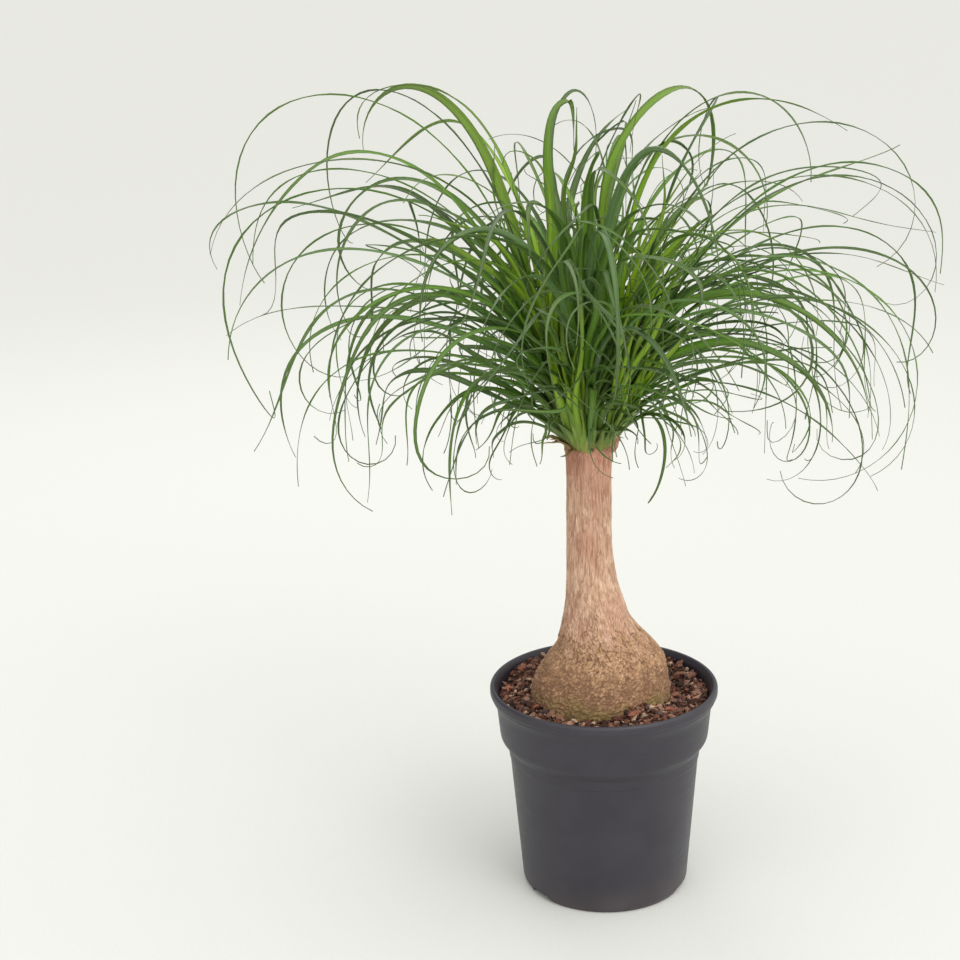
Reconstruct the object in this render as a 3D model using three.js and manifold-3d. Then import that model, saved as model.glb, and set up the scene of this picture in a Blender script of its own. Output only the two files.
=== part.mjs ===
// Ponytail palm in a plastic growing pot: pot, soil, trunk with its swollen foot, four leafy shoots.
// Millimetres, +Z up. The origin is the centre of the pot's underside and the front faces -Y.
import * as THREE from "three";
import { mergeVertices } from "three/addons/utils/BufferGeometryUtils.js";
import Module from "manifold-3d";

const wasm = await Module();
wasm.setup();

// ---------- driving dimensions ----------
const GAP = 0.3; // clearance between pieces that touch

const POT_HEIGHT = 197;
const POT_WALL = 1.8;
const POT_SIDES = 36;
const LIP_RADIUS = 105;
const COLLAR_TOP_RADIUS = 99;
const COLLAR_FOOT_RADIUS = 96.4;
const COLLAR_FOOT_HEIGHT = 149;
const SHOULDER_RADIUS = 88.9; // body just under the collar
const SHOULDER_HEIGHT = 137;
const FOOT_RADIUS = 77;
const FLOOR_HEIGHT = 5; // raised ring of the underside
const FLOOR_THICKNESS = 2.2;
const CENTRE_PAD_RADIUS = 26;
const DRAIN_COUNT = 6;
const DRAIN_RADIUS = 4.5;
const DRAIN_CIRCLE = 45;
const NOTCH_COUNT = 3; // openings in the standing ring
const NOTCH_WIDTH = 27;
const NOTCH_TURN = -26; // degrees, the first one from +X

const SOIL_LEVEL = 183;
const SOIL_RELIEF = 2.6;
// Low heaps of chips: [x, y, height, spread].
const SOIL_HEAPS = [
  [32, -64, 10.5, 27],
  [-58, 64, 10, 30],
  [62, 52, 6, 34],
];
const SOIL_SIDES = 40;
const SOIL_RINGS = 6;

const STEM_X = -11.8; // the thin stem stands left of the pot's axis
const STEM_TOP = 424;
const STEM_SIDES = 28;

const SHOOTS = ["front", "right", "back", "left"];
const FIRST_SHOOT_TURN = -95; // degrees from +X
const SECTOR = Math.PI / 4; // half of the quarter that a shoot's leaves keep to
const LEAVES_PER_SHOOT = 37;
const SPREAD = { front: 0.45, right: 1, back: 1, left: 1 }; // how wide the upright leaves fan
const LEAF_SEEDS = { front: 4104, right: 4106, back: 4101, left: 4111 };
const LEAF_STEPS = 48; // steps along a leaf when its curve is worked out
const LEAF_STATIONS = [0, 0.3, 0.55, 0.75, 0.9, 1]; // where a blade has a section
const GOLDEN = 0.618034; // share of a turn from each leaf to the next
const CROWN_TOP = 738;
const CROWN_SIDE = 313; // reach to the left and right of the crown's middle
const CROWN_LEAN = 9; // how far left of the stem that middle lies
const CROWN_DEPTH = 300; // reach to the front and back
const CROWN_FLOOR = 362; // lowest leaf tip
const ROOT_OFFSET = 4; // from the middle of the stub to a leaf's root
const SHEATH_LENGTH = 80; // how far the sheaths hold the leaves together
const HELD_SHARE = 0.3; // share of its lean that a held leaf has at its root
const BLADE_TIP = 1.1;
const BLADE_THICKNESS = 1.0;

// ---------- helpers ----------
const rad = THREE.MathUtils.degToRad;

function mix(a, b, t) {
  return a + (b - a) * Math.min(1, Math.max(0, t));
}

// Same numbers every time, from 0 to 1.
function seededRandom(seed) {
  let a = seed >>> 0;
  return () => {
    a = (a + 0x6d2b79f5) >>> 0;
    let t = a;
    t = Math.imul(t ^ (t >>> 15), t | 1);
    t ^= t + Math.imul(t ^ (t >>> 7), t | 61);
    return ((t ^ (t >>> 14)) >>> 0) / 4294967296;
  };
}

// A closed surface as a solid that can be joined and cut.
function solid(geometry) {
  const bare = geometry.clone();
  bare.deleteAttribute("normal");
  bare.deleteAttribute("uv");
  const merged = mergeVertices(bare, 1e-4);
  const corners = [];
  for (let i = 0; i < merged.index.count; i += 3) {
    const [a, b, c] = merged.index.array.slice(i, i + 3);
    if (a !== b && b !== c && c !== a) corners.push(a, b, c);
  }
  const vertProperties = new Float32Array(merged.attributes.position.array);
  const triVerts = new Uint32Array(corners);
  return new wasm.Manifold(new wasm.Mesh({ numProp: 3, vertProperties, triVerts }));
}

function geometryOf(body) {
  const mesh = body.getMesh();
  const geometry = new THREE.BufferGeometry();
  geometry.setAttribute("position", new THREE.BufferAttribute(mesh.vertProperties, 3));
  geometry.setIndex(new THREE.BufferAttribute(mesh.triVerts, 1));
  return geometry;
}

// Two triangles over a four-cornered face, folded along the diagonal that stands proud, so that a
// twisted blade stays thick in its middle.
function foldedOutwards(points, a, b, c, d) {
  const ac = points[c].clone().sub(points[a]);
  const bd = points[d].clone().sub(points[b]);
  const outward = ac.clone().cross(bd);
  const rise = points[a].clone().add(points[c]).sub(points[b]).sub(points[d]);
  return outward.dot(rise) > 0 ? [a, b, c, a, c, d] : [a, b, d, b, c, d];
}

// A skin over sections with equal numbers of points, closed at both ends.
function loft(sections) {
  const sides = sections[0].length;
  const points = sections.flat();
  const index = [];
  for (let row = 0; row < sections.length - 1; row++) {
    for (let i = 0; i < sides; i++) {
      const a = row * sides + i;
      const b = row * sides + ((i + 1) % sides);
      index.push(...foldedOutwards(points, a, b, b + sides, a + sides));
    }
  }
  const last = (sections.length - 1) * sides;
  for (let i = 1; i < sides - 1; i++) {
    index.push(0, i + 1, i);
    index.push(last, last + i, last + i + 1);
  }
  const geometry = new THREE.BufferGeometry().setFromPoints(points);
  geometry.setIndex(index);
  return geometry;
}

function circle(centre, radius, sides) {
  const ring = [];
  for (let i = 0; i < sides; i++) {
    const turn = (2 * Math.PI * i) / sides;
    ring.push(new THREE.Vector3(Math.cos(turn), Math.sin(turn), 0).multiplyScalar(radius).add(centre));
  }
  return ring;
}

// A profile of [radius, height] pairs turned about the vertical axis.
function turned(profile, sides) {
  const outline = profile.map(([r, z]) => new THREE.Vector2(r, z));
  return new THREE.LatheGeometry(outline, sides).rotateX(Math.PI / 2);
}

function piece(name, body, colour, roughness) {
  const material = new THREE.MeshStandardMaterial({ color: colour, roughness, metalness: 0 });
  const mesh = new THREE.Mesh(geometryOf(body), material);
  mesh.name = name;
  return mesh;
}

// ---------- pot ----------
// Outside radius of the plain tapered body.
function bodyRadius(z) {
  return mix(FOOT_RADIUS, SHOULDER_RADIUS, z / SHOULDER_HEIGHT);
}

function potOutside() {
  const lipFoot = POT_HEIGHT - 9;
  return [
    [0, 0],
    [FOOT_RADIUS - 2.5, 0],
    [bodyRadius(4), 4],
    [SHOULDER_RADIUS, SHOULDER_HEIGHT],
    [SHOULDER_RADIUS + 1.2, SHOULDER_HEIGHT + 2],
    [COLLAR_FOOT_RADIUS - 0.8, COLLAR_FOOT_HEIGHT - 3],
    [COLLAR_FOOT_RADIUS, COLLAR_FOOT_HEIGHT],
    [COLLAR_TOP_RADIUS, lipFoot - 13],
    [COLLAR_TOP_RADIUS + 1.1, lipFoot - 8],
    [LIP_RADIUS - 0.9, lipFoot - 1],
    [LIP_RADIUS, lipFoot + 2],
    [LIP_RADIUS, POT_HEIGHT - 3],
    [LIP_RADIUS - 2, POT_HEIGHT],
  ];
}

// The same path a wall thickness further in, down to the floor inside.
function potInside() {
  return [
    [LIP_RADIUS - 4, POT_HEIGHT - 0.8],
    [COLLAR_TOP_RADIUS - POT_WALL + 0.6, POT_HEIGHT - 6],
    [COLLAR_FOOT_RADIUS - POT_WALL, COLLAR_FOOT_HEIGHT],
    [SHOULDER_RADIUS - POT_WALL, SHOULDER_HEIGHT],
    [bodyRadius(20) - POT_WALL, 20],
    [bodyRadius(20) - POT_WALL - 4, FLOOR_HEIGHT + FLOOR_THICKNESS],
    [0, FLOOR_HEIGHT + FLOOR_THICKNESS],
  ];
}

function makePot() {
  let pot = solid(turned([...potOutside(), ...potInside()], POT_SIDES));
  const recess = [
    [CENTRE_PAD_RADIUS, -1],
    [FOOT_RADIUS - 12, -1],
    [FOOT_RADIUS - 13, FLOOR_HEIGHT],
    [CENTRE_PAD_RADIUS + 2, FLOOR_HEIGHT],
    [CENTRE_PAD_RADIUS, -1],
  ];
  pot = pot.subtract(solid(turned(recess, POT_SIDES)));
  for (let i = 0; i < DRAIN_COUNT; i++) {
    const drain = new THREE.CylinderGeometry(DRAIN_RADIUS, DRAIN_RADIUS, 12, 10).rotateX(Math.PI / 2);
    drain.translate(DRAIN_CIRCLE, 0, FLOOR_HEIGHT).rotateZ((2 * Math.PI * i) / DRAIN_COUNT);
    pot = pot.subtract(solid(drain));
  }
  for (let i = 0; i < NOTCH_COUNT; i++) {
    const notch = new THREE.BoxGeometry(30, NOTCH_WIDTH, 2 * FLOOR_HEIGHT - 1);
    notch.translate(FOOT_RADIUS, 0, 0).rotateZ(rad(NOTCH_TURN) + (2 * Math.PI * i) / NOTCH_COUNT);
    pot = pot.subtract(solid(notch));
  }
  return pot;
}

// ---------- trunk: buried foot, swollen base and stem, grown as one ----------
// [height, centre x, half width] up the trunk; the foot below the soil is round.
const TRUNK_SECTIONS = [
  [122, 0, 16],
  [126, 0, 30],
  [138, -1, 46],
  [152, -2, 56],
  [168, -3, 62],
  [186, -3.2, 63.8],
  [197, -2.6, 63.2],
  [209, -0.8, 60],
  [222, 2.2, 55],
  [233, 2.4, 46.8],
  [241, 0, 41.5],
  [250, -3, 36],
  [262, -5.8, 31],
  [276, -7.4, 27.4],
  [292, -9.8, 23.8],
  [314, -11.2, 21.4],
  [345, STEM_X, 20.6],
  [380, STEM_X, 20.3],
  [404, STEM_X, 20.5],
  [417, STEM_X + 0.4, 21],
  [STEM_TOP - 1.5, STEM_X + 0.4, 21.2],
  [STEM_TOP, STEM_X + 0.3, 19.6],
];

// Bark: knobs on the swollen base, long shallow ridges up the stem.
function barkRelief(turn, z) {
  const lumps = Math.sin(9 * turn + 0.11 * z) * Math.sin(0.31 * z + 3 * turn);
  const knobs = lumps + 0.6 * Math.sin(15 * turn - 0.2 * z);
  const ridges = Math.sin(13 * turn + 1.7 * Math.sin(0.021 * z)) + 0.5 * Math.sin(7 * turn + 0.06 * z);
  const base = mix(1, 0, (z - 235) / 60);
  const shown = mix(0, 1, (z - 150) / 25) * mix(1, 0.3, (z - STEM_TOP + 20) / 20);
  return shown * (base * 0.9 * knobs + (1 - base) * 0.55 * ridges);
}

// With a clearance, this is the hole that the trunk stands in.
function makeTrunk(clearance) {
  const sections = TRUNK_SECTIONS.map(([z, x, half]) => {
    const ring = [];
    for (let i = 0; i < STEM_SIDES; i++) {
      const turn = (2 * Math.PI * i) / STEM_SIDES;
      const radius = half + barkRelief(turn, z) + clearance;
      ring.push(new THREE.Vector3(x + radius * Math.cos(turn), radius * Math.sin(turn), z - clearance));
    }
    return ring;
  });
  return solid(loft(sections));
}

// ---------- soil ----------
// Height of the loose bark chips: heaps, and a few waves that never line up.
function soilHeight(x, y) {
  const coarse = Math.sin(0.31 * x + 0.17 * y) + Math.sin(0.23 * y - 0.19 * x + 1.3);
  const fine = Math.sin(0.83 * x - 0.47 * y + 0.6) * Math.sin(0.71 * y + 0.39 * x);
  let height = SOIL_LEVEL + SOIL_RELIEF * (0.3 * coarse + 0.7 * fine);
  for (const [heapX, heapY, rise, spread] of SOIL_HEAPS) {
    height += rise * Math.exp(-((x - heapX) ** 2 + (y - heapY) ** 2) / spread ** 2);
  }
  return height;
}

function soilRadius(z) {
  if (z > COLLAR_FOOT_HEIGHT) {
    const t = (z - COLLAR_FOOT_HEIGHT) / (POT_HEIGHT - 6 - COLLAR_FOOT_HEIGHT);
    return mix(COLLAR_FOOT_RADIUS, COLLAR_TOP_RADIUS + 0.6, t) - POT_WALL - 1;
  }
  return bodyRadius(Math.min(z, SHOULDER_HEIGHT)) - POT_WALL - 1;
}

function makeSoil(trunkSocket) {
  const floor = FLOOR_HEIGHT + FLOOR_THICKNESS + GAP;
  const levels = [floor, 20, SHOULDER_HEIGHT, COLLAR_FOOT_HEIGHT];
  const sections = levels.map((z) => {
    const inset = z === floor ? 4 : 0;
    return circle(new THREE.Vector3(0, 0, z), soilRadius(Math.max(z, 20)) - inset, SOIL_SIDES);
  });
  for (let ringNumber = 0; ringNumber < SOIL_RINGS; ringNumber++) {
    const radius = mix(soilRadius(SOIL_LEVEL), 46, ringNumber / (SOIL_RINGS - 1));
    const ring = circle(new THREE.Vector3(), radius, SOIL_SIDES);
    ring.forEach((point) => point.setZ(soilHeight(point.x, point.y)));
    sections.push(ring);
  }
  return solid(loft(sections)).subtract(trunkSocket);
}

// ---------- shoots ----------
// A shoot's short stub, in its own quarter: out from the stem's axis and up. t runs from 0 to 1.
function stubPoint(t) {
  return { out: mix(13.5, 30, t), up: mix(408, 474, t) };
}

function stubRadius(t) {
  return t < 0.35 ? mix(8, 9.6, t / 0.35) : mix(9.6, 4.5, (t - 0.35) / 0.65);
}

function makeStub(turn, clearance) {
  const sections = [0, 0.18, 0.35, 0.55, 0.8, 1].map((t) => {
    const { out, up } = stubPoint(t);
    const centre = new THREE.Vector3(STEM_X + out * Math.cos(turn), out * Math.sin(turn), up - clearance);
    return circle(centre, stubRadius(t) + clearance, 12);
  });
  return solid(loft(sections));
}

function bladeWidth(leaf, t) {
  const taper = Math.min(1, (1 - t) / 0.72) ** 1.15;
  const root = mix(0.35, 1, t / 0.16);
  return Math.max(BLADE_TIP, leaf.width * taper * root);
}

// The middle line of a leaf: it is held upright at first, leans out by `lean` from the vertical,
// then curls over by `bend`, and is pressed clear of the neighbouring quarters.
function leafCurve(leaf, turn) {
  const start = stubPoint(leaf.seat);
  const step = leaf.length / LEAF_STEPS;
  let out = start.out + ROOT_OFFSET * Math.cos(rad(leaf.heading));
  let side = ROOT_OFFSET * Math.sin(rad(leaf.heading));
  let up = start.up;
  const curve = [];
  for (let i = 0; i <= LEAF_STEPS; i++) {
    const keptOut = out < 21 ? 9 + 12 * Math.exp((out - 21) / 12) : out;
    const clear = (bladeWidth(leaf, i / LEAF_STEPS) / 2 + 0.6) / Math.cos(SECTOR);
    const room = Math.max(0.5, keptOut * Math.tan(SECTOR) - clear);
    const keptSide = room * Math.tanh(side / room);
    const middle = (i + 0.5) / LEAF_STEPS;
    const opened = mix(leaf.held, 1, (middle * leaf.length) / SHEATH_LENGTH);
    const lean = rad(leaf.lean * opened + leaf.bend * middle ** leaf.power);
    const heading = rad(leaf.heading + leaf.drift * middle * middle);
    const x = STEM_X + keptOut * Math.cos(turn) - keptSide * Math.sin(turn);
    const y = keptOut * Math.sin(turn) + keptSide * Math.cos(turn);
    curve.push({ point: new THREE.Vector3(x, y, up), heading: heading + turn });
    out += step * Math.sin(lean) * Math.cos(heading);
    side += step * Math.sin(lean) * Math.sin(heading);
    up += step * Math.cos(lean);
  }
  return curve;
}

// Is the whole leaf inside the outline of the crown, and clear of the stem?
function fitsCrown(curve, lowest) {
  return curve.every(({ point }) => {
    const x = point.x - STEM_X;
    const rise = 0.5 * Math.max(0, -point.y - 0.3 * Math.abs(x));
    const wide = Math.hypot((x + CROWN_LEAN) / CROWN_SIDE, point.y / CROWN_DEPTH) <= 1;
    const besideStem = point.z > STEM_TOP + 5 || Math.hypot(x, point.y) > 28;
    return wide && besideStem && point.z <= CROWN_TOP && point.z >= lowest + rise;
  });
}

// One leaf of a shoot. Age 0 is the newest, upright in the middle, and 1 the oldest, at the outside.
function drawLeaf(number, phase, random, turn, spread) {
  const age = (number + 0.5) / LEAVES_PER_SHOOT;
  const around = ((phase + number * GOLDEN) % 1) * 2 - 1;
  const leaf = { age, seat: 0.96 - 0.56 * age, held: HELD_SHARE };
  leaf.heading = mix(125, 52, age / 0.3) * around + 8 * (random() - 0.5);
  if (age < 0.6) leaf.heading *= spread;
  const grown = (age - 0.13) / 0.47;
  const old = (age - 0.6) / 0.4;
  const [lean, length, bend, width, power] = [random(), random(), random(), random(), random()];
  if (age < 0.13) {
    leaf.lean = 1 + 13 * lean;
    leaf.length = 150 + 170 * length;
    leaf.bend = 20 + 80 * bend;
    leaf.width = 6.5 + 2.5 * width;
    leaf.power = 1.5 + power;
  } else if (age < 0.6) {
    leaf.lean = mix(4, 40, grown) + 16 * (lean - 0.5);
    leaf.length = mix(390, 530, grown) * (0.68 + 0.5 * length);
    leaf.bend = mix(150, 200, grown) * (0.7 + 0.6 * bend);
    leaf.width = 6 + 3.6 * width;
    leaf.power = 1.5 + 1.1 * power;
  } else {
    leaf.lean = mix(34, 68, old) + 14 * (lean - 0.5);
    leaf.length = mix(480, 330, old) * (0.75 + 0.45 * length);
    leaf.bend = mix(185, 125, old) * (0.75 + 0.5 * bend);
    leaf.width = 5.2 + 3 * width;
    leaf.power = 1.4 + 0.9 * power;
  }
  leaf.drift = 140 * (random() - 0.5);
  leaf.roll = 50 * (random() - 0.5);
  leaf.twist = 150 * (random() - 0.5);
  const lowest = CROWN_FLOOR + 90 * random() ** 2;
  for (let i = 0; i < 24 && !fitsCrown(leafCurve(leaf, turn), lowest); i++) {
    leaf.length *= 0.965;
    leaf.bend *= 0.95;
  }
  return leaf;
}

// Long leaves that give the crown its outline:
// [heading, lean, length, bend, power, drift, width, seat] by shoot.
const OUTLINE_LEAVES = {
  front: [
    [7, 5, 436, 264, 1.9, 1, 9, 0.7],
    [12, 11.5, 139, 232, 0.8, -90, 6.4, 0.95],
    [-16, 14, 344, 118, 1.1, 4, 8, 0.93],
    [22, 10, 281, 146, 1.04, 6, 8, 0.76],
    [17, 8.5, 492, 170, 2.09, 15, 8, 0.48],
    [-23, -12, 536, 162, 0.81, -83, 8.5, 0.58],
    [43, -5, 425, 176, 2.8, 70, 8.6, 0.55],
  ],
  right: [
    [8, -8, 504, 320, 3.06, 90, 9.6, 0.41],
    [-44, -2, 441, 174, 2.18, 1, 8, 0.95],
    [-2, 10, 527, 231, 2.5, -2, 7, 0.41],
    [-44, 17, 475, 172, 2.2, 72, 6.5, 0.44],
    [-18, -6.5, 321, 180, 0.87, 19, 7.5, 0.88],
    [-44, 40.5, 428, 186, 1.85, 58, 6.5, 0.88],
    [-6, 26, 513, 260, 1.5, 15, 6.5, 0.81],
    [-44, 49, 266, 136, 1.8, 54, 8, 0.95],
    [44, 47.5, 215, 80, 0.8, -24, 8, 0.7],
    [-44, -8, 424, 207, 2.54, 16, 7, 0.41],
  ],
  back: [
    [19, 40, 366, 17, 3.98, -82, 9, 0.41],
    [-11, 41, 411, 64, 4, 90, 7, 0.44],
    [-16, 25, 416, 93, 2.54, 66, 7, 0.41],
    [-10, 14, 470, 180, 2, 10, 7.5, 0.7],
    [28, 24, 450, 190, 1.8, -10, 7, 0.6],
  ],
  left: [
    [-44, 17, 458, 169, 3.48, 2, 10, 0.62],
    [8, 10.5, 620, 245, 2.27, -64, 7.5, 0.59],
    [-16, 9.5, 576, 267, 2.31, -63, 8, 0.9],
    [17, 12, 472, 159, 1.64, -90, 7, 0.79],
    [27, 18, 646, 314, 1.78, -120, 7, 0.95],
    [4, 18, 481, 258, 2.03, -25, 7, 0.57],
    [44, 16.5, 381, 183, 1.87, -68, 7, 0.57],
    [-42, 6, 367, 196, 1.09, 85, 8, 0.56],
    [44, -7, 275, 203, 0.8, 40, 7.5, 0.45],
    [44, 44, 135, 57, 0.8, -119, 8, 0.95],
    [44, -12, 376, 203, 1.58, 20, 8, 0.44],
    [44, 2, 393, 198, 4.5, 120, 9, 0.41],
  ],
};

function outlineLeaf([heading, lean, length, bend, power, drift, width, seat]) {
  const habit = { age: 0.4, held: 1, roll: 8, twist: 60 };
  return { ...habit, heading, lean, length, bend, power, drift, width, seat };
}

function leavesOf(shoot, turn) {
  const random = seededRandom(LEAF_SEEDS[shoot]);
  const leaves = OUTLINE_LEAVES[shoot].map(outlineLeaf);
  const phase = random();
  for (let i = 0; i < LEAVES_PER_SHOOT; i++) {
    leaves.push(drawLeaf(i, phase, random, turn, SPREAD[shoot]));
  }
  return leaves;
}

// A blade with a three-cornered section: flat above, with a shallow keel below.
function makeBlade(leaf, turn) {
  const curve = leafCurve(leaf, turn);
  const sections = LEAF_STATIONS.map((t) => {
    const i = Math.round(t * LEAF_STEPS);
    const { point, heading } = curve[i];
    const ahead = curve[Math.min(i + 1, LEAF_STEPS)].point;
    const behind = curve[Math.max(i - 1, 0)].point;
    const along = ahead.clone().sub(behind).normalize();
    const across = new THREE.Vector3(-Math.sin(heading), Math.cos(heading), 0);
    across.addScaledVector(along, -across.dot(along)).normalize();
    across.applyAxisAngle(along, rad(leaf.roll + leaf.twist * t));
    const below = across.clone().cross(along);
    const half = bladeWidth(leaf, t) / 2;
    return [
      point.clone().addScaledVector(across, -half),
      point.clone().addScaledVector(below, BLADE_THICKNESS),
      point.clone().addScaledVector(across, half),
    ];
  });
  return solid(loft(sections));
}

// Stub and blades as one body; pockets sealed between crossing blades are filled.
function makeShoot(shoot, turn) {
  const blades = leavesOf(shoot, turn).map((leaf) => makeBlade(leaf, turn));
  const fused = wasm.Manifold.union([makeStub(turn, 0), ...blades]);
  return fused.decompose().reduce((most, body) => (body.volume() > most.volume() ? body : most));
}

// ---------- the plant in its pot ----------
const group = new THREE.Group();
let trunk = makeTrunk(0);
group.add(piece("pot", makePot(), 0x48464a, 0.42));
group.add(piece("soil", makeSoil(makeTrunk(GAP)), 0x5a3a2e, 0.95));
SHOOTS.forEach((shoot, i) => {
  const turn = rad(FIRST_SHOOT_TURN + 90 * i);
  trunk = trunk.subtract(makeStub(turn, GAP));
  group.add(piece(`shoot_${shoot}`, makeShoot(shoot, turn), 0x3f7a2c, 0.5));
});
group.add(piece("trunk", trunk, 0xa8856a, 0.85));

export default group;
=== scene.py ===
# %% [markdown]
# # A ponytail palm in its growing pot
#
# The real thing is four materials: a dark moulded pot, bark chips, a corky trunk with a swollen
# base, and a fountain of long narrow leaves. This lesson makes them in that order.
#
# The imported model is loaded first, as a fixed frame. Every piece made here stands for one of its
# parts, in the same place and at the same size, with the fine surface that those solids leave out.

# %% Load the frame
import math
import random

import bmesh
import bpy
import numpy as np
from mathutils import Matrix, Vector, noise


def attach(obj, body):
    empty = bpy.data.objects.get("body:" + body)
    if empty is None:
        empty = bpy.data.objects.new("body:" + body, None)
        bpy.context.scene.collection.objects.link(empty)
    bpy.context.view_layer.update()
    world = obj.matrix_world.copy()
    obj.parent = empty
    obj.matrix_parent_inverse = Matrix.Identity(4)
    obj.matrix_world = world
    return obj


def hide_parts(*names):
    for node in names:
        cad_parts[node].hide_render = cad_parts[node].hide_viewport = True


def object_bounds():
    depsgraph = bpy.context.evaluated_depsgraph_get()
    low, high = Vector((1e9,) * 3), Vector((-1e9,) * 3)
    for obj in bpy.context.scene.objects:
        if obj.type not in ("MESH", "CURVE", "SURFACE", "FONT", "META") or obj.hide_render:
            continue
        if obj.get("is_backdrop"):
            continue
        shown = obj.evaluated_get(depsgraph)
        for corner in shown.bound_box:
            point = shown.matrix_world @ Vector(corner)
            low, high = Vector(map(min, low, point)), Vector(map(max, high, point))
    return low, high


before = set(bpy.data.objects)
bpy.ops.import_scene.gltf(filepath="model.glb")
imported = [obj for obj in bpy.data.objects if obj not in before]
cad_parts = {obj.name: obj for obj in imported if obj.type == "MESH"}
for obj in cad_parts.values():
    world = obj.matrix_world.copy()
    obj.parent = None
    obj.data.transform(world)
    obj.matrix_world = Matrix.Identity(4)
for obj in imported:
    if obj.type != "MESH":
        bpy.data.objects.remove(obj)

part_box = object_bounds()
print("box of the part in metres:", [[round(v, 3) for v in corner] for corner in part_box])

# %% [markdown]
# ## The camera
#
# The plant was photographed from just above the height of its crown, looking down a little, from
# about a metre and a half away. The round lip of the pot shows the angle: the flatter its ellipse,
# the lower the camera. A long lens would flatten the crown, so the distance matters as much as the
# angle. The camera is made first, because everything after it is judged through it.

# %% Camera
CAMERA_AIM = Vector((-0.109, 0, 0.394))
CAMERA_DISTANCE = 1.6
CAMERA_ELEVATION = math.radians(16.18)
CAMERA_ROLL = math.radians(-1.57)
CAMERA_LENS = 67.1  # millimetres, on a sensor 36 mm wide

lens = bpy.data.cameras.new("camera")
lens.sensor_width = 36
lens.lens = CAMERA_LENS
camera = bpy.data.objects.new("camera", lens)
bpy.context.scene.collection.objects.link(camera)
facing = Matrix.Rotation(math.pi / 2 - CAMERA_ELEVATION, 4, "X")
step_back = Matrix.Translation((0, 0, CAMERA_DISTANCE))
roll = Matrix.Rotation(CAMERA_ROLL, 4, "Z")
camera.matrix_world = Matrix.Translation(CAMERA_AIM) @ facing @ step_back @ roll
bpy.context.scene.camera = camera
print("camera stands at", [round(v, 3) for v in camera.matrix_world.translation])

# %% [markdown]
# ## Tools for making a mesh
#
# Nearly everything here is a skin over rings of points: a pot is rings round its axis, a trunk is
# rings up the stem, a leaf is small rings along its midrib. Blender's own lathe and curve tools
# could make the first of these, but a table of points in code keeps the exact form of the part, and
# lets each point carry facts, such as how deep in a crack it lies, that the finish reads later.

# %% Numbers and rings
def mix(a, b, t):
    """From a at t = 0 to b at t = 1, and no further."""
    return a + (b - a) * np.clip(t, 0, 1)


def smooth_step(low, high, value):
    """0 up to low and 1 from high on, with an even curve between them."""
    t = np.clip((value - low) / (high - low), 0, 1)
    return t * t * (3 - 2 * t)


def ring_faces(rings, around, first=0):
    """Faces of a skin over rings of points, with a face over each end."""
    starts = first + np.arange(rings - 1)[:, None] * around
    here = starts + np.arange(around)
    beside = starts + (np.arange(around) + 1) % around
    sides = np.stack([here, beside, beside + around, here + around], axis=-1)
    last = first + (rings - 1) * around
    ends = [list(range(first + around - 1, first - 1, -1)), list(range(last, last + around))]
    return sides.reshape(-1, 4).tolist() + ends


print("a closed tube of 3 rings of 8 points has", len(ring_faces(3, 8)), "faces")

# %% [markdown]
# A piece is a mesh in an object of its own. Sizes are in millimetres, as on a drawing, and become
# metres here. Each piece then says which part of the frame it stands for, so that the solid under
# it is hidden, and which of the four materials it is made of.

# %% Pieces
MM = 0.001


def make_piece(name, points, faces, facts=None, sharp=None):
    """A mesh object from points in millimetres, each with facts for its finish to read."""
    mesh = bpy.data.meshes.new(name)
    mesh.from_pydata((np.asarray(points) * MM).tolist(), [], faces)
    if facts is not None:
        layer = mesh.attributes.new("facts", "FLOAT_COLOR", "POINT")
        rgba = np.ones((len(points), 4), np.float32)
        rgba[:, : np.shape(facts)[1]] = facts
        layer.data.foreach_set("color", rgba.ravel())
    mesh.polygons.foreach_set("use_smooth", [True] * len(mesh.polygons))
    if sharp is not None:
        mesh.set_sharp_from_angle(angle=math.radians(sharp))
    piece = bpy.data.objects.new(name, mesh)
    bpy.context.scene.collection.objects.link(piece)
    return piece


def put_in_frame(piece, finish, slot, *parts):
    """Give the piece its finish, and let it stand for these parts of the frame."""
    piece.data.materials.clear()
    piece.data.materials.append(finish)
    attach(piece, "root")
    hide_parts(*parts)
    print(piece.name, "stands for", parts, "with", len(piece.data.polygons), "faces")


print("a millimetre is", MM, "metres")

# %% [markdown]
# ## Tools for making a finish
#
# A finish is a graph of nodes that ends in one Principled shader. It could be wired up by hand in
# the shader editor, but in code it can be read, measured and changed. Wiring in code is wordy, so
# one helper makes a node, sets its values and plugs in what feeds it, all in one call.

# %% Nodes and colours
def feed(tree, socket, value):
    """Set a socket to a value, or link another socket to it."""
    if isinstance(value, bpy.types.NodeSocket):
        tree.links.new(value, socket)
    else:
        socket.default_value = value


def add(tree, kind, inputs=None, **settings):
    """A shader node with its settings, and with each input set to a value or fed from a socket."""
    made = tree.nodes.new("ShaderNode" + kind)
    for key, value in settings.items():
        setattr(made, key, value)
    for key, value in (inputs or {}).items():
        feed(tree, made.inputs[key], value)
    return made


def colour(red, green, blue):
    """A colour as seen on a screen, from 0 to 255, in the linear values that shaders use."""
    values = np.array([red, green, blue]) / 255
    return (*np.where(values > 0.04045, ((values + 0.055) / 1.055) ** 2.4, values / 12.92), 1)


def blend(tree, amount, under, over):
    """One colour laid over another, by an amount from 0 to 1."""
    made = add(tree, "Mix", {"Factor": amount}, data_type="RGBA")
    for key, value in (("A", under), ("B", over)):
        feed(tree, [s for s in made.inputs if s.name == key and s.type == "RGBA"][0], value)
    return [s for s in made.outputs if s.type == "RGBA"][0]


print("a mid grey on a screen is", round(float(colour(128, 128, 128)[0]), 3), "to a shader")

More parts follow.
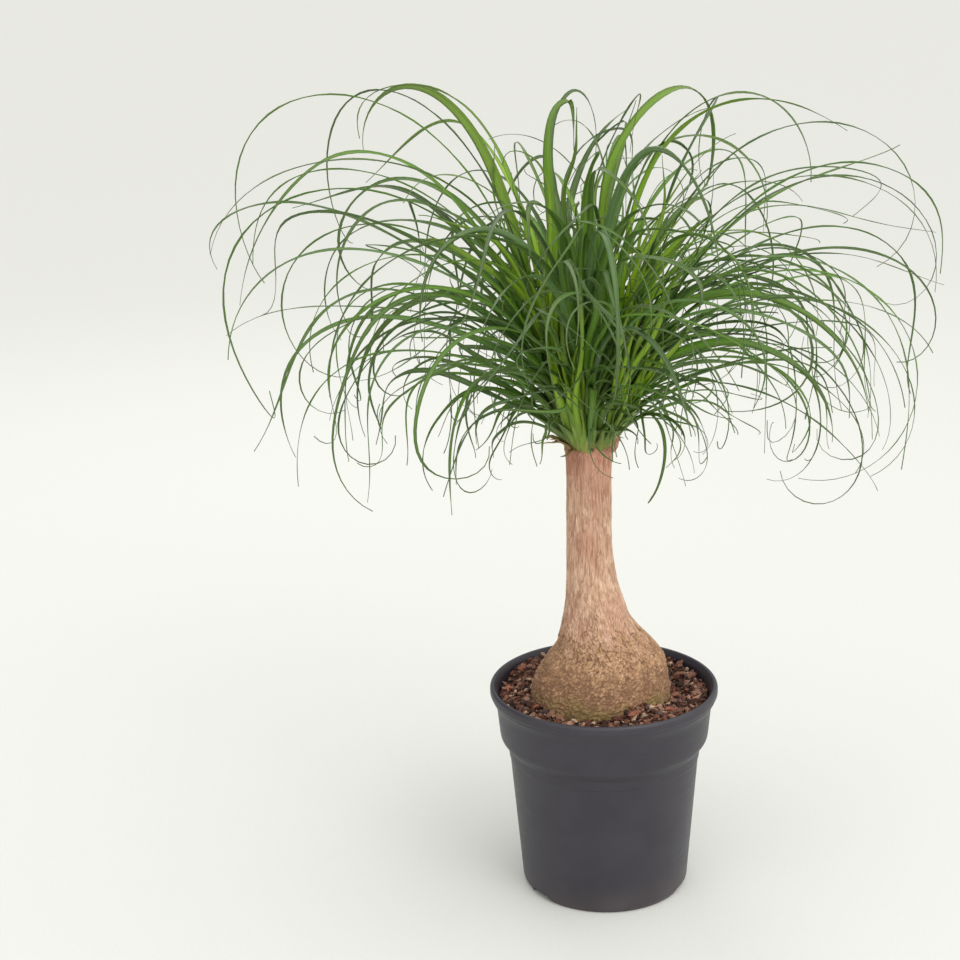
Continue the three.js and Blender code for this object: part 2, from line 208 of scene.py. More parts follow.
# %% [markdown]
# No real surface is even: bark is darker in its cracks, and plastic is duller where it was scuffed.
# Such a change could be painted on a picture. Here it is a number from 0 to 1 instead, taken from
# noise, from the height or from the facts of the mesh, and it says how much of a colour is laid on.

# %% Numbers in a finish
def scaled(tree, value, from_low, from_high, to_low=0.0, to_high=1.0):
    """A value stretched from one range to another."""
    ends = {"From Min": from_low, "From Max": from_high, "To Min": to_low, "To Max": to_high}
    return add(tree, "MapRange", {"Value": value, **ends}).outputs["Result"]


def reckon(tree, operation, *values):
    """The result of one step of arithmetic."""
    return add(tree, "Math", dict(enumerate(values)), operation=operation).outputs["Value"]


def height_of(tree, place):
    """How high a place is, in metres."""
    return add(tree, "SeparateXYZ", {"Vector": place}).outputs["Z"]


def grain(tree, place, size, detail=4.0, stretch=(1, 1, 1), roughness=0.55):
    """Noise with grains of about this size in metres, from 0 to 1."""
    shaped = add(tree, "Mapping", {"Vector": place, "Scale": stretch}).outputs["Vector"]
    kept = {"Vector": shaped, "Scale": 1 / size, "Detail": detail, "Roughness": roughness}
    return add(tree, "TexNoise", kept).outputs["Fac"]


def facts_of(tree):
    """The four numbers that each point of a mesh carries."""
    stored = add(tree, "Attribute", attribute_name="facts").outputs
    return [*add(tree, "SeparateColor", {"Color": stored["Color"]}).outputs, stored["Alpha"]]


print("grains a millimetre wide need a noise scale of", round(1 / MM))

# %% [markdown]
# Every finish starts in the same way, and ends on the same few sockets of its shader, so these
# steps are helpers too. Relief is in the mesh wherever it shows in the outline. Only what is finer
# than the points of the mesh is left to bump, which costs no faces.

# %% Finishes
def new_finish(name):
    """An empty finish: the material, its node tree, its shader and the place on the piece."""
    finish = bpy.data.materials.new(name)
    finish.use_nodes = True
    tree = finish.node_tree
    place = add(tree, "TexCoord").outputs["Object"]
    return finish, tree, tree.nodes["Principled BSDF"], place


def cover(tree, shader, base, roughness, shine):
    """Give the shader its colour, its roughness and the strength of its shine."""
    feed(tree, shader.inputs["Base Color"], base)
    feed(tree, shader.inputs["Roughness"], roughness)
    shader.inputs["Specular IOR Level"].default_value = shine


def raise_surface(tree, shader, height, strength, distance):
    """Fine relief that the mesh leaves out, by bump, with its depth in metres."""
    bump = add(tree, "Bump", {"Height": height, "Strength": strength, "Distance": distance})
    feed(tree, shader.inputs["Normal"], bump.outputs["Normal"])


# %% [markdown]
# ## The pot
#
# A growing pot is moulded in one piece: a tapered body, a wider collar so that pots stack, and a
# rolled lip to lift it by. Its underside stands on a ring with three notches, and has drain holes.
# A Screw modifier with a Bevel could turn and round it, but one bevel has one width. Here the
# profile is one line of corners, and each corner is eased by its own reach, since moulded plastic
# has no sharp corners, and these small curves catch the light.

# %% Pot profile
POT_HEIGHT = 197
POT_SIDES = 240
WALL = 1.8
EASE_STEPS = 5
POT_CORNERS = [  # radius, height, reach of the easing
    (0, 0, 0),
    (26.2, 0, 0.5),
    (28, 5, 0.8),
    (64.9, 5, 0.8),
    (65.8, 0, 0.3),
    (74.4, 0, 0.8),
    (77.4, 4.4, 2.6),
    (87.5, 127.4, 0.4),
    (88.3, 128.2, 0.4),
    (88.9, 137, 0.6),
    (90.3, 139, 1),
    (95.6, 146.4, 2),
    (96.5, 150, 2),
    (98.9, 175, 3),
    (100.1, 180, 2),
    (103.4, 185.6, 0.9),
    (103.6, 187.4, 0.7),
    (105, 189.2, 0.9),
    (105, 194.8, 1.8),
    (103, 197, 1.8),
    (101, 196.4, 1.2),
    (98.2, 191, 2),
    (94.7, 149, 2),
    (87.2, 137, 2),
    (76.9, 20, 4),
    (73, 7.2, 3),
    (0, 7.2, 0),
]


def eased(corners, steps):
    """The profile with a small curve in place of each corner."""
    line = [corners[0][:2]]
    for before, corner, after in zip(corners, corners[1:], corners[2:]):
        middle = np.array(corner[:2], float)
        towards = []
        for other in (before, after):
            way = np.array(other[:2], float) - middle
            length = np.linalg.norm(way)
            towards.append(middle + way * min(corner[2], 0.45 * length) / length)
        for step in range(steps + 1):
            t = step / steps
            line.append((1 - t) ** 2 * towards[0] + 2 * t * (1 - t) * middle + t * t * towards[1])
    line.append(corners[-1][:2])
    return np.array(line, float)


profile = eased(POT_CORNERS, EASE_STEPS)
turn = np.linspace(0, 2 * math.pi, POT_SIDES, endpoint=False)
rows = profile[1:-1]
pot_points = np.stack([
    rows[:, :1] * np.cos(turn),
    rows[:, :1] * np.sin(turn),
    np.repeat(rows[:, 1:], POT_SIDES, axis=1),
], axis=-1).reshape(-1, 3)
pot = make_piece("pot", pot_points, ring_faces(len(rows), POT_SIDES))
print("pot profile has", len(profile), "points")

# %% [markdown]
# The notches and drain holes are cut with Booleans. They could be left out of the skin by hand, but
# a cut keeps the true wall thickness at every edge, which shows where light falls through a notch.

# %% Cut the notches and drains
NOTCH_TURNS = [-26, 94, 214]  # degrees from +X
NOTCH_SIZE = (30, 27, 11)
NOTCH_EASE = 2.2
NOTCH_CENTRE = 77
DRAIN_RADIUS = 4.5
DRAIN_CIRCLE = 45
DRAIN_COUNT = 6
DRAIN_DEPTH = 12
FLOOR_HEIGHT = 5


def cutter(build, place):
    """The mesh of one cutting tool, put in its place."""
    shape = bmesh.new()
    build(shape)
    bmesh.ops.transform(shape, matrix=place, verts=shape.verts)
    mesh = bpy.data.meshes.new("cutter")
    shape.to_mesh(mesh)
    shape.free()
    return mesh


def notch(shape):
    """A rounded block, for one notch in the standing ring."""
    bmesh.ops.create_cube(shape, size=1)
    size = Matrix.Diagonal((*NOTCH_SIZE, 1)) * MM
    bmesh.ops.transform(shape, matrix=size, verts=shape.verts)
    bmesh.ops.bevel(shape, geom=shape.edges, offset=NOTCH_EASE * MM, segments=3, affect="EDGES")


def drain(shape):
    """A plain cylinder, for one drain hole."""
    size = {"radius1": DRAIN_RADIUS * MM, "radius2": DRAIN_RADIUS * MM, "depth": DRAIN_DEPTH * MM}
    bmesh.ops.create_cone(shape, cap_ends=True, segments=32, **size)


cuts = []
for degrees in NOTCH_TURNS:
    out = Matrix.Translation((NOTCH_CENTRE * MM, 0, 0))
    cuts.append(cutter(notch, Matrix.Rotation(math.radians(degrees), 4, "Z") @ out))
for i in range(DRAIN_COUNT):
    out = Matrix.Translation((DRAIN_CIRCLE * MM, 0, FLOOR_HEIGHT * MM))
    cuts.append(cutter(drain, Matrix.Rotation(2 * math.pi * i / DRAIN_COUNT, 4, "Z") @ out))
for mesh in cuts:
    tool = bpy.data.objects.new("cutter", mesh)
    bpy.context.scene.collection.objects.link(tool)
    cut = pot.modifiers.new("cut", "BOOLEAN")
    cut.operation = "DIFFERENCE"
    cut.object = tool
    bpy.context.view_layer.update()
    graph = bpy.context.evaluated_depsgraph_get()
    result = bpy.data.meshes.new_from_object(pot.evaluated_get(graph))
    pot.modifiers.clear()
    pot.data = result
    bpy.data.objects.remove(tool)
pot.data.set_sharp_from_angle(angle=math.radians(40))
print("pot after", len(cuts), "cuts:", len(pot.data.polygons), "faces")

# %% [markdown]
# ## The pot's finish
#
# Recycled black plastic comes out a warm anthracite. It is satin, a little uneven from the mould,
# and it picks up pale dust near the floor, and fine scuffs where pots were stacked. The wear could
# be painted on a picture, but noise needs no unwrapping and never repeats. All of it is low in
# contrast: the eye should read plastic first and wear second.

# %% Pot finish
pot_plastic, tree, shader, place = new_finish("pot_plastic")
height = height_of(tree, place)
cloud = grain(tree, place, 0.045, detail=3)
fine = grain(tree, place, 0.0011, detail=2)
scuff = grain(tree, place, 0.02, detail=6, stretch=(1, 1, 7), roughness=0.7)
base = blend(tree, scaled(tree, cloud, 0.35, 0.65), colour(43, 40, 48), colour(49, 46, 54))
worn = scaled(tree, scuff, 0.6, 0.76, 0, 0.3)
base = blend(tree, worn, base, colour(80, 75, 78))
foot_dust = scaled(tree, height, 0.03, 0.0, 0, 0.35)
base = blend(tree, reckon(tree, "MULTIPLY", foot_dust, cloud), base, colour(112, 98, 92))
cover(tree, shader, base, scaled(tree, scuff, 0.3, 0.75, 0.4, 0.52), 0.45)
raise_surface(tree, shader, fine, 0.12, 0.0002)
put_in_frame(pot, pot_plastic, "pot_plastic", "pot")

# %% [markdown]
# ## The bark bed
#
# The pot is filled to a finger's width below its lip with coarse bark. The bed itself is dark
# fines: a disc of rings whose height is a few waves and three low heaps, closed down to the pot's
# floor. A displaced plane would do for the top, but rings follow the round wall without a gap. The
# bed runs in under the trunk, so that no gap shows there either.

# %% Soil bed
SOIL_LEVEL = 183
SOIL_RELIEF = 2.6
SOIL_HEAPS = [(32, -64, 10.5, 27), (-58, 64, 10, 30), (62, 52, 6, 34)]  # x, y, rise, spread
SOIL_RADIUS = 96.2
SOIL_SIDES = 160
SOIL_RINGS = 44
BED_COLOUR = (0.09, 0.055, 0.042)  # dark fines, in the shader's linear values
WALL_INSIDE = [(7.2, 71), (12, 74.5), (20, 75.9), (137, 86.2), (149, 93.7), (191, 97)]  # up, out


def soil_height(x, y):
    """Height of the bed at a place, the same waves and heaps as the solid's."""
    coarse = np.sin(0.31 * x + 0.17 * y) + np.sin(0.23 * y - 0.19 * x + 1.3)
    fine_wave = np.sin(0.83 * x - 0.47 * y + 0.6) * np.sin(0.71 * y + 0.39 * x)
    height = SOIL_LEVEL + SOIL_RELIEF * (0.3 * coarse + 0.7 * fine_wave)
    for heap_x, heap_y, rise, spread in SOIL_HEAPS:
        height += rise * np.exp(-((x - heap_x) ** 2 + (y - heap_y) ** 2) / spread**2)
    return height


def wall_radius(z):
    """Inside of the pot's wall, a millimetre clear."""
    return np.interp(z, *zip(*WALL_INSIDE))


turn = np.linspace(0, 2 * math.pi, SOIL_SIDES, endpoint=False)
circle = np.stack([np.cos(turn), np.sin(turn)], -1)
bed_rings = []
for z in (7.5, 12, 20, 137, 149, 176):
    radius = float(wall_radius(z)) - 0.4
    bed_rings.append(np.column_stack([radius * circle, np.full_like(turn, z)]))
for radius in np.linspace(SOIL_RADIUS, 30, SOIL_RINGS):
    x, y = radius * circle.T
    crumbs = [noise.fractal(Vector((a, b, 3)) / 2.6, 0.7, 2.1, 4) for a, b in zip(x, y)]
    bed_rings.append(np.stack([x, y, soil_height(x, y) - 1.6 + 1.3 * np.array(crumbs)], -1))
bed_points = np.concatenate(bed_rings)
bed_facts = np.tile([BED_COLOUR], (len(bed_points), 1))
bed_faces = ring_faces(len(bed_rings), SOIL_SIDES)
lowest, highest = bed_points[:, 2].min(), bed_points[:, 2].max()
print("soil bed from", round(lowest, 1), "to", round(highest, 1), "mm")

# %% [markdown]
# On the bed lie the chips that give the surface its look: angular flakes of bark in reddish, dark
# and grey browns, tan, sand and a few of orange. Particles or instances could scatter them, but a
# joined mesh of real flakes keeps one piece, and each flake keeps its own colour. A handful of
# shapes is enough, since turning and stretching makes every copy look new.

# %% Bark chips
CHIP_SEED = 21
CHIP_COUNT = 4000
CHIP_SHAPES = 18
CHIP_COLOURS = [  # share, then the colour on a screen
    (27, (78, 50, 40)),
    (25, (112, 70, 56)),
    (19, (138, 98, 80)),
    (14, (168, 128, 108)),
    (2, (178, 108, 82)),
    (7, (200, 170, 144)),
    (8, (98, 80, 76)),
    (7, (48, 39, 36)),
]
chance = random.Random(CHIP_SEED)


def chip_shape(detail):
    """One angular flake, about two units across."""
    shape = bmesh.new()
    bmesh.ops.create_icosphere(shape, subdivisions=detail, radius=1)
    places = np.array([v.co[:] for v in shape.verts])
    corners = [[v.index for v in face.verts] for face in shape.faces]
    shape.free()
    for _ in range(5):
        facet = np.array([chance.gauss(0, 1) for _ in range(3)])
        facet /= np.linalg.norm(facet)
        beyond = np.maximum(places @ facet - chance.uniform(0.45, 0.75), 0)
        places = places - beyond[:, None] * facet
    places = places * (1 + 0.16 * np.array([[chance.uniform(-1, 1)] for _ in places]))
    return places, corners


shapes = [chip_shape(1 if i % 3 else 2) for i in range(CHIP_SHAPES)]
print(len(shapes), "shapes of flake")

# %% [markdown]
# The chips are strewn evenly between the wall and the trunk's foot. Each lies nearly flat, as loose
# flakes do, and the small ones far outnumber the large.

# %% Strewn chips
SHARES = [share for share, _ in CHIP_COLOURS]
NEAREST_CHIP = 56  # from the pot's axis, just inside the trunk's foot
chip_points, chip_faces, chip_facts = [bed_points], list(bed_faces), [bed_facts]
count = len(bed_points)
for number in range(CHIP_COUNT):
    places, corners = shapes[chance.randrange(CHIP_SHAPES)]
    size = 0.8 + 3.1 * chance.random() ** 3
    stretch = np.array([size * chance.uniform(1, 2.1), size, size * chance.uniform(0.3, 0.75)])
    spin = Matrix.Rotation(chance.uniform(0, 6.3), 3, "Z")
    spin @= Matrix.Rotation(chance.gauss(0, 0.55), 3, "X")
    spin @= Matrix.Rotation(chance.gauss(0, 0.4), 3, "Y")
    out = math.sqrt(chance.uniform(NEAREST_CHIP**2, (SOIL_RADIUS + 1 - 0.8 * size) ** 2))
    around = chance.uniform(0, 2 * math.pi)
    x, y = out * math.cos(around), out * math.sin(around)
    z = float(soil_height(x, y)) + chance.uniform(-1.4, 1.4) + 0.25 * size
    chip_points.append((places * stretch) @ np.array(spin).T + [x, y, z])
    chip_faces.extend([[count + i for i in corner] for corner in corners])
    tone = chance.uniform(0.65, 1.15)
    shade = np.array(colour(*chance.choices(CHIP_COLOURS, SHARES)[0][1])[:3]) * tone
    chip_facts.append(np.tile([shade], (len(places), 1)))
    count += len(places)
chip_points, chip_facts = np.concatenate(chip_points), np.concatenate(chip_facts)
soil = make_piece("bark_soil", chip_points, chip_faces, chip_facts, sharp=28)
print(CHIP_COUNT, "chips on the bed")

# %% [markdown]
# ## The finish of bark chips
#
# Dry bark has no shine at all. Each flake could have a material of its own colour, but one finish
# that reads the colour from the points is lighter and easier to change. It only breaks that colour
# up with fine fibres and pale dust.

# %% Soil finish
bark_soil, tree, shader, place = new_finish("bark_soil")
stored = add(tree, "Attribute", attribute_name="facts").outputs["Color"]
fibre = grain(tree, place, 0.0012, detail=5)
patch = grain(tree, place, 0.005, detail=3)
base = blend(tree, scaled(tree, fibre, 0.35, 0.7, 0, 0.5), stored, colour(40, 26, 22))
base = blend(tree, scaled(tree, patch, 0.6, 0.8, 0, 0.35), base, colour(170, 132, 112))
cover(tree, shader, base, 0.92, 0.2)
raise_surface(tree, shader, fibre, 0.5, 0.0006)
put_in_frame(soil, bark_soil, "bark_soil", "soil")

# %% [markdown]
# ## The trunk
#
# Stem and swollen base grew as one. The stem is covered with long thin plates of cork that have
# split apart as it thickened. On the base the plates are short, and the surface is knobbly, like
# dried mud. Its form is measured: a centre and a half width at each height, with a smooth curve
# through them. A subdivided mesh would round it off, and a curve through the values doesn't.

# %% Trunk outline
STEM_X = -11.8
STEM_TOP = 424
TRUNK_SIDES = 320
FOOT_STEP = 0.6  # from ring to ring on the cracked foot
STEM_STEP = 1.15  # and up the stem
TRUNK_OUTLINE = [  # height, centre x, half width
    (122, 0, 16),
    (126, 0, 30),
    (138, -1, 46),
    (152, -2, 56),
    (168, -3, 62),
    (186, -3.2, 63.8),
    (197, -2.6, 63.2),
    (209, -0.8, 60),
    (222, 2.2, 55),
    (233, 2.4, 46.8),
    (241, 0, 41.5),
    (250, -3, 36),
    (262, -5.8, 31),
    (276, -7.4, 27.4),
    (292, -9.8, 23.8),
    (314, -11.2, 21.4),
    (345, STEM_X, 20.6),
    (380, STEM_X, 20.3),
    (404, STEM_X, 20.5),
    (417, STEM_X + 0.4, 21),
    (STEM_TOP - 1.5, STEM_X + 0.4, 21.2),
    (STEM_TOP, STEM_X + 0.3, 19.6),
]


def curve_through(heights, values, wanted):
    """A smooth curve through given values, read at the wanted heights."""
    slope = np.gradient(values, heights)
    i = np.clip(np.searchsorted(heights, wanted) - 1, 0, len(heights) - 2)
    span = heights[i + 1] - heights[i]
    t = (wanted - heights[i]) / span
    start = (1 + 2 * t) * (1 - t) ** 2 * values[i] + t * (1 - t) ** 2 * span * slope[i]
    end = t * t * (3 - 2 * t) * values[i + 1] + t * t * (t - 1) * span * slope[i + 1]
    return start + end


print("trunk from", TRUNK_OUTLINE[0][0], "to", STEM_TOP, "mm, in", len(TRUNK_OUTLINE), "measures")

# %% [markdown]
# The bark could be sculpted, which is slow, or shown by bump alone, which leaves the outline
# smooth. Here two simple ideas give real relief. One is cells: each point finds the nearest plates
# round it, and the gap between the nearest two is a crack. The other is a noise that makes a crack
# wherever it changes sign. Stretching space along the stem makes both long and thin.

# %% Cracks
def squeezed(point, sizes):
    """The point in a space where a pattern of these sizes in millimetres has the size 1."""
    return Vector([p / s for p, s in zip(point, sizes)])


def cell_gap(point, sizes):
    """How far a point is from the crack between two cells, and a tone for its cell."""
    distances, centres = noise.voronoi(squeezed(point, sizes))
    return distances[1] - distances[0], noise.noise(centres[0] * 7.3)


def fissure(point, sizes, width):
    """1 in the middle of a crack, down to 0 beside it. Cracks lie where a noise changes sign."""
    return 1 - smooth_step(0, width, abs(noise.noise(squeezed(point, sizes))))


print("a point in a cell:", [round(v, 2) for v in cell_gap((20, 0, 300), (3.2, 3.2, 10))])

# %% [markdown]
# The relief is worked out point by point, and so are four facts for the finish: how deep the point
# lies in a crack, the tone of its plate, how much green algae has settled on it, and whether it is
# on the rough base, whose upper edge is ragged.

# %% Bark relief
LONG_CRACKS = (3.8, 3.8, 30)  # size of each pattern across and up, in millimetres
THIN_CRACKS = (1.9, 1.9, 15)
STREAKS = (2.7, 2.7, 24)
PLATES = (3.2, 3.2, 10)
KNOBS = (3.6, 3.6, 4.8)
GRIT = (1.9, 1.9, 2.2)


def bark(point):
    """Relief in millimetres, then crack depth, plate tone, algae and roughness."""
    x, y, z = point
    ragged = z + 22 * noise.noise(squeezed(point, (8, 8, 22)))
    rough = 1 - smooth_step(236, 266, ragged)
    streaky = 1 - smooth_step(250, 286, ragged)
    knobbly = 1 - smooth_step(212, 236, ragged)
    bent = (x, y, z + 4 * noise.noise(Vector((x, y, z)) / 11))
    swell = noise.noise(squeezed(point, (15, 15, 34)))
    long_crack = fissure(bent, LONG_CRACKS, 0.12)
    thin_crack = fissure(bent, THIN_CRACKS, 0.15)
    streak = fissure(bent, STREAKS, 0.2)
    (plate_gap, plate_tone), (knob_gap, knob_tone), (grit_gap, grit_tone) = [
        cell_gap(bent, sizes) for sizes in (PLATES, KNOBS, GRIT)
    ]
    plate_crack = 1 - smooth_step(0, 0.16, plate_gap)
    knob_crack = 1 - smooth_step(0, 0.34, knob_gap)
    grit_crack = 1 - smooth_step(0, 0.4, grit_gap)
    stem = 0.9 * swell + 0.4 * plate_tone
    stem -= 0.6 * long_crack + 0.35 * thin_crack + 0.3 * plate_crack + 0.7 * streaky * streak
    base = 1.7 * swell + 0.7 * knob_tone + 0.3 * grit_tone
    base -= knobbly * (0.8 * knob_crack + 0.45 * grit_crack) + mix(1.1, 0.4, knobbly) * streak
    stem_dark = max(0.5 * long_crack, 0.4 * thin_crack, 0.2 * plate_crack, 0.8 * streaky * streak)
    base_dark = knobbly * max(0.9 * knob_crack, 0.65 * grit_crack)
    base_dark = max(base_dark, mix(1, 0.5, knobbly) * streak)
    tone = 0.5 + 0.5 * mix(plate_tone, 0.7 * knob_tone + 0.5 * grit_tone, rough)
    front = smooth_step(-0.2, 0.8, -y / math.hypot(x, y))
    algae = front * (1 - smooth_step(184, 204, z + 16 * noise.noise(Vector((x, y, z)) / 18)))
    return mix(stem, base, rough), mix(stem_dark, base_dark, rough), tone, algae, rough


print("bark halfway up the stem:", [round(float(v), 2) for v in bark((0, -21, 340))])

# %% [markdown]
# A ring every half millimetre or so shows every plate of the foot. The stem's streaks run upwards,
# so it needs half as many, and below the soil a few are enough. The top of the stem is a blunt
# callus that the shoots grow out of: its rings close in over it, and its rim is ragged.

# %% Trunk mesh
outline = np.array(TRUNK_OUTLINE, float)
hidden_heights = [122, 126, 132, 140, 150, 160]
foot_heights = np.arange(168, 262, FOOT_STEP)
stem_heights = np.arange(262, STEM_TOP, STEM_STEP)
heights = np.concatenate([hidden_heights, foot_heights, stem_heights])
centres = curve_through(outline[:, 0], outline[:, 1], heights)
halves = curve_through(outline[:, 0], outline[:, 2], heights)
turn = np.linspace(0, 2 * math.pi, TRUNK_SIDES, endpoint=False)
trunk_points, trunk_facts = [], []
for z, middle, half in zip(heights, centres, halves):
    shown = float(smooth_step(160, 176, z))
    for angle in turn:
        x, y = half * math.cos(angle), half * math.sin(angle)
        relief, *surface = bark((x, y, z)) if shown else (0, 0, 0.5, 0, 1)
        size = 1 + shown * relief / half
        trunk_points.append((middle + x * size, y * size, z))
        trunk_facts.append(surface)
CALLUS = [(0.97, 1.6), (0.86, 2.6), (0.66, 2.9), (0.4, 2.4), (0.12, 2.2)]  # share of the rim, rise
rim = np.array(trunk_points[-TRUNK_SIDES:])
for share, rise in CALLUS:
    for x, y, z in rim:
        bump = 1.5 * noise.noise(Vector((x, y, 10 * share)) / 3.1)
        x, y = mix(STEM_X, x, share), y * share
        trunk_points.append((x, y, STEM_TOP + rise + bump * min(1, 2 * share)))
        trunk_facts.append((0.3 + 0.3 * bump, 0.8, 0, 0))
trunk_faces = ring_faces(len(heights) + len(CALLUS), TRUNK_SIDES)
print("trunk has", len(trunk_points), "points")

# %% [markdown]
# To the right of the top sits a knob of pinkish callus, where an old shoot was cut away. A metaball
# would melt into the stem, but this knob sits on it with a crease, so it is a lumpy ball of its own
# in the same mesh, sunk half into the rim.

# %% Callus knob
KNOB_CENTRE = (8, -6, 428)
KNOB_SIZE = (7.5, 7, 7.5)
KNOB_SIDES = 40
first = len(trunk_points)
for ring in range(1, KNOB_SIDES // 2):
    down = math.pi * ring / (KNOB_SIDES // 2)
    wide, high = math.sin(down), -math.cos(down)
    for angle in np.linspace(0, 2 * math.pi, KNOB_SIDES, endpoint=False):
        out = Vector((wide * math.cos(angle), wide * math.sin(angle), high))
        lump = 1 + 0.5 * noise.noise(out * 1.9) + 0.3 * noise.noise(out * 5)
        trunk_points.append([c + s * lump * o for c, s, o in zip(KNOB_CENTRE, KNOB_SIZE, out)])
        trunk_facts.append((0.25 + 0.25 * noise.noise(out * 7), 1.0, 0, 0))
trunk_faces += ring_faces(KNOB_SIDES // 2 - 1, KNOB_SIDES, first=first)
trunk = make_piece("trunk", trunk_points, trunk_faces, trunk_facts)
print("with its knob:", len(trunk.data.polygons), "faces")

# %% [markdown]
# ## The trunk's finish
#
# Cork is tan with a pink cast where it is young, and its cracks are brown, not black. Noise in the
# finish alone could colour it, but then colour and relief wouldn't meet. So the depth of each crack
# and the tone of each plate come from the mesh, and the finish adds what is finer than its points:
# fibres up the stem, specks on the foot, pink skin near the top and an olive film near the soil.

# %% Bark finish
trunk_bark, tree, shader, place = new_finish("trunk_bark")
crack, tone, algae, on_foot = facts_of(tree)
height = height_of(tree, place)
fibre = grain(tree, place, 0.0011, detail=5, stretch=(1, 1, 0.09))
speck = grain(tree, place, 0.0014, detail=4)
cloud = grain(tree, place, 0.016, detail=3, stretch=(1, 1, 0.45))
young = blend(tree, scaled(tree, tone, 0.25, 0.8), colour(176, 138, 112), colour(214, 181, 155))
young = blend(tree, scaled(tree, cloud, 0.44, 0.7, 0, 0.6), young, colour(176, 124, 102))
old = blend(tree, scaled(tree, tone, 0.2, 0.8), colour(130, 96, 70), colour(184, 146, 110))
base = blend(tree, on_foot, young, old)
lines = blend(tree, on_foot, fibre, speck)
base = blend(tree, scaled(tree, lines, 0.5, 0.7, 0, 0.6), base, colour(128, 88, 66))
base = blend(tree, scaled(tree, lines, 0.44, 0.28, 0, 0.5), base, colour(238, 214, 190))
flush = scaled(tree, height, 0.37, 0.425, 0, 0.55)
skin = blend(tree, scaled(tree, cloud, 0.4, 0.6), colour(188, 112, 92), colour(150, 92, 74))
base = blend(tree, flush, base, skin)
base = blend(tree, scaled(tree, crack, 0.15, 1.0, 0, 0.85), base, colour(92, 60, 42))
base = blend(tree, scaled(tree, algae, 0.1, 1.0, 0, 0.5), base, colour(122, 114, 58))
cover(tree, shader, base, 0.82, 0.3)
raise_surface(tree, shader, lines, 0.45, 0.0007)
put_in_frame(trunk, trunk_bark, "trunk_bark", "trunk")

# %% [markdown]
# ## How a leaf grows
#
# Four growing points stand on the stem, and each is a rosette: new leaves upright in its middle,
# old ones leaning out. Hair or particles could fill the crown quickly, but they don't know how a
# leaf bends, and the solid shoots already do. So both follow one rule, with the same numbers, and
# each fine leaf lies along its solid one. Chance comes from a small generator with a seed, written
# out here because its numbers have to be the same ones that shaped the solids.

# %% Seeded random numbers
def seeded_random(seed):
    """Numbers from 0 to 1, the same ones that shaped the solid shoots."""
    state = [seed & 0xFFFFFFFF]

    def draw():
        state[0] = (state[0] + 0x6D2B79F5) & 0xFFFFFFFF
        t = state[0]
        t = ((t ^ (t >> 15)) * (t | 1)) & 0xFFFFFFFF
        t ^= (t + (((t ^ (t >> 7)) * (t | 61)) & 0xFFFFFFFF)) & 0xFFFFFFFF
        return ((t ^ (t >> 14)) & 0xFFFFFFFF) / 4294967296

    return draw


def between(a, b, t):
    """From a to b, as mix does, for plain numbers."""
    return a + (b - a) * min(1.0, max(0.0, t))


first_draws = seeded_random(1)
print("the first draws for seed 1:", [round(first_draws(), 3) for _ in range(3)])

# %% [markdown]
# Each shoot is a short stub, and young leaves sit high on it. The oldest leaves, whose own shoots
# are long gone, clasp the rim of the stem instead, and so do two tufts at the front.

# %% Shoots and their stubs
SHOOTS = ["front", "right", "back", "left"]
FIRST_SHOOT_TURN = -95  # degrees from +X
STUB_REACH = (13.5, 30)  # out from the stem's axis, at the stub's foot and tip
STUB_HEIGHT = (408, 474)
ROOT_OFFSET = 4  # from the middle of the stub to a leaf's root
RIM_RADIUS = 19.3
RIM_HEIGHT = 421
FROM_RIM = ("clasp", "dry", "heart_left", "heart_right")  # kinds of leaves that clasp the rim


def stub_point(t):
    """Out from the stem's axis and up, along a stub from its foot at 0 to its tip at 1."""
    return between(*STUB_REACH, t), between(*STUB_HEIGHT, t)


def stub_radius(t):
    """Radius of a stub, widest a third of the way up."""
    return between(2, 6, t / 0.35) if t < 0.35 else between(6, 3, (t - 0.35) / 0.65)


def leaf_root(leaf):
    """Where a leaf starts: out from the stem's axis, to the side, and up."""
    heading = math.radians(leaf["heading"])
    if leaf.get("kind") in FROM_RIM:
        height = RIM_HEIGHT + 6 * leaf["seat"]
        return RIM_RADIUS * math.cos(heading), RIM_RADIUS * math.sin(heading), height
    out, up = stub_point(leaf["seat"])
    return out + ROOT_OFFSET * math.cos(heading), ROOT_OFFSET * math.sin(heading), up


print("a leaf halfway up a stub starts at", leaf_root({"seat": 0.5, "heading": 0}))

# %% [markdown]
# A leaf of this plant is a ribbon up to 65 cm long. It springs up stiffly from its broad base, then
# bends more and more, and its thin tip curls over. A curve with a few handles could be bent to that
# by eye, for each of some four hundred leaves. Instead the midrib is walked step by step: at each
# step the lean from the vertical grows a little faster. The walk adds what a solid blade is too
# stiff for: a sway, and a curl near the tip that differs from leaf to leaf.

# %% The walk along a midrib
LEAF_STEPS = 48
SECTOR = math.pi / 4  # half of the quarter that a shoot's solid leaves keep to
NEAREST = 21  # a leaf that leans inwards past this is eased away from the stem's axis
SHEATH_HEIGHT = 80  # how far the sheaths hold the leaves together
HELD_SHARE = 0.3  # share of its lean that a leaf has at its foot
SWAY = 17  # degrees
CURL_FROM = 0.7  # share of the length where the tip starts to curl


def taper(t):
    """Width along a leaf, as a share of its greatest."""
    return min(1.0, max(0.0, 1 - t) / 0.72) ** 1.15


def quirks(chance, strength):
    """The sway and the curl of one leaf."""
    own = {"sway": strength * (0.4 + chance()), "beat": 0.8 + 1.1 * chance()}
    own["start"] = 6.3 * chance()
    own["curl"] = strength * (210 * chance() ** 2 - 45)
    own["veer"] = 6 * strength * (chance() - 0.5)
    return own


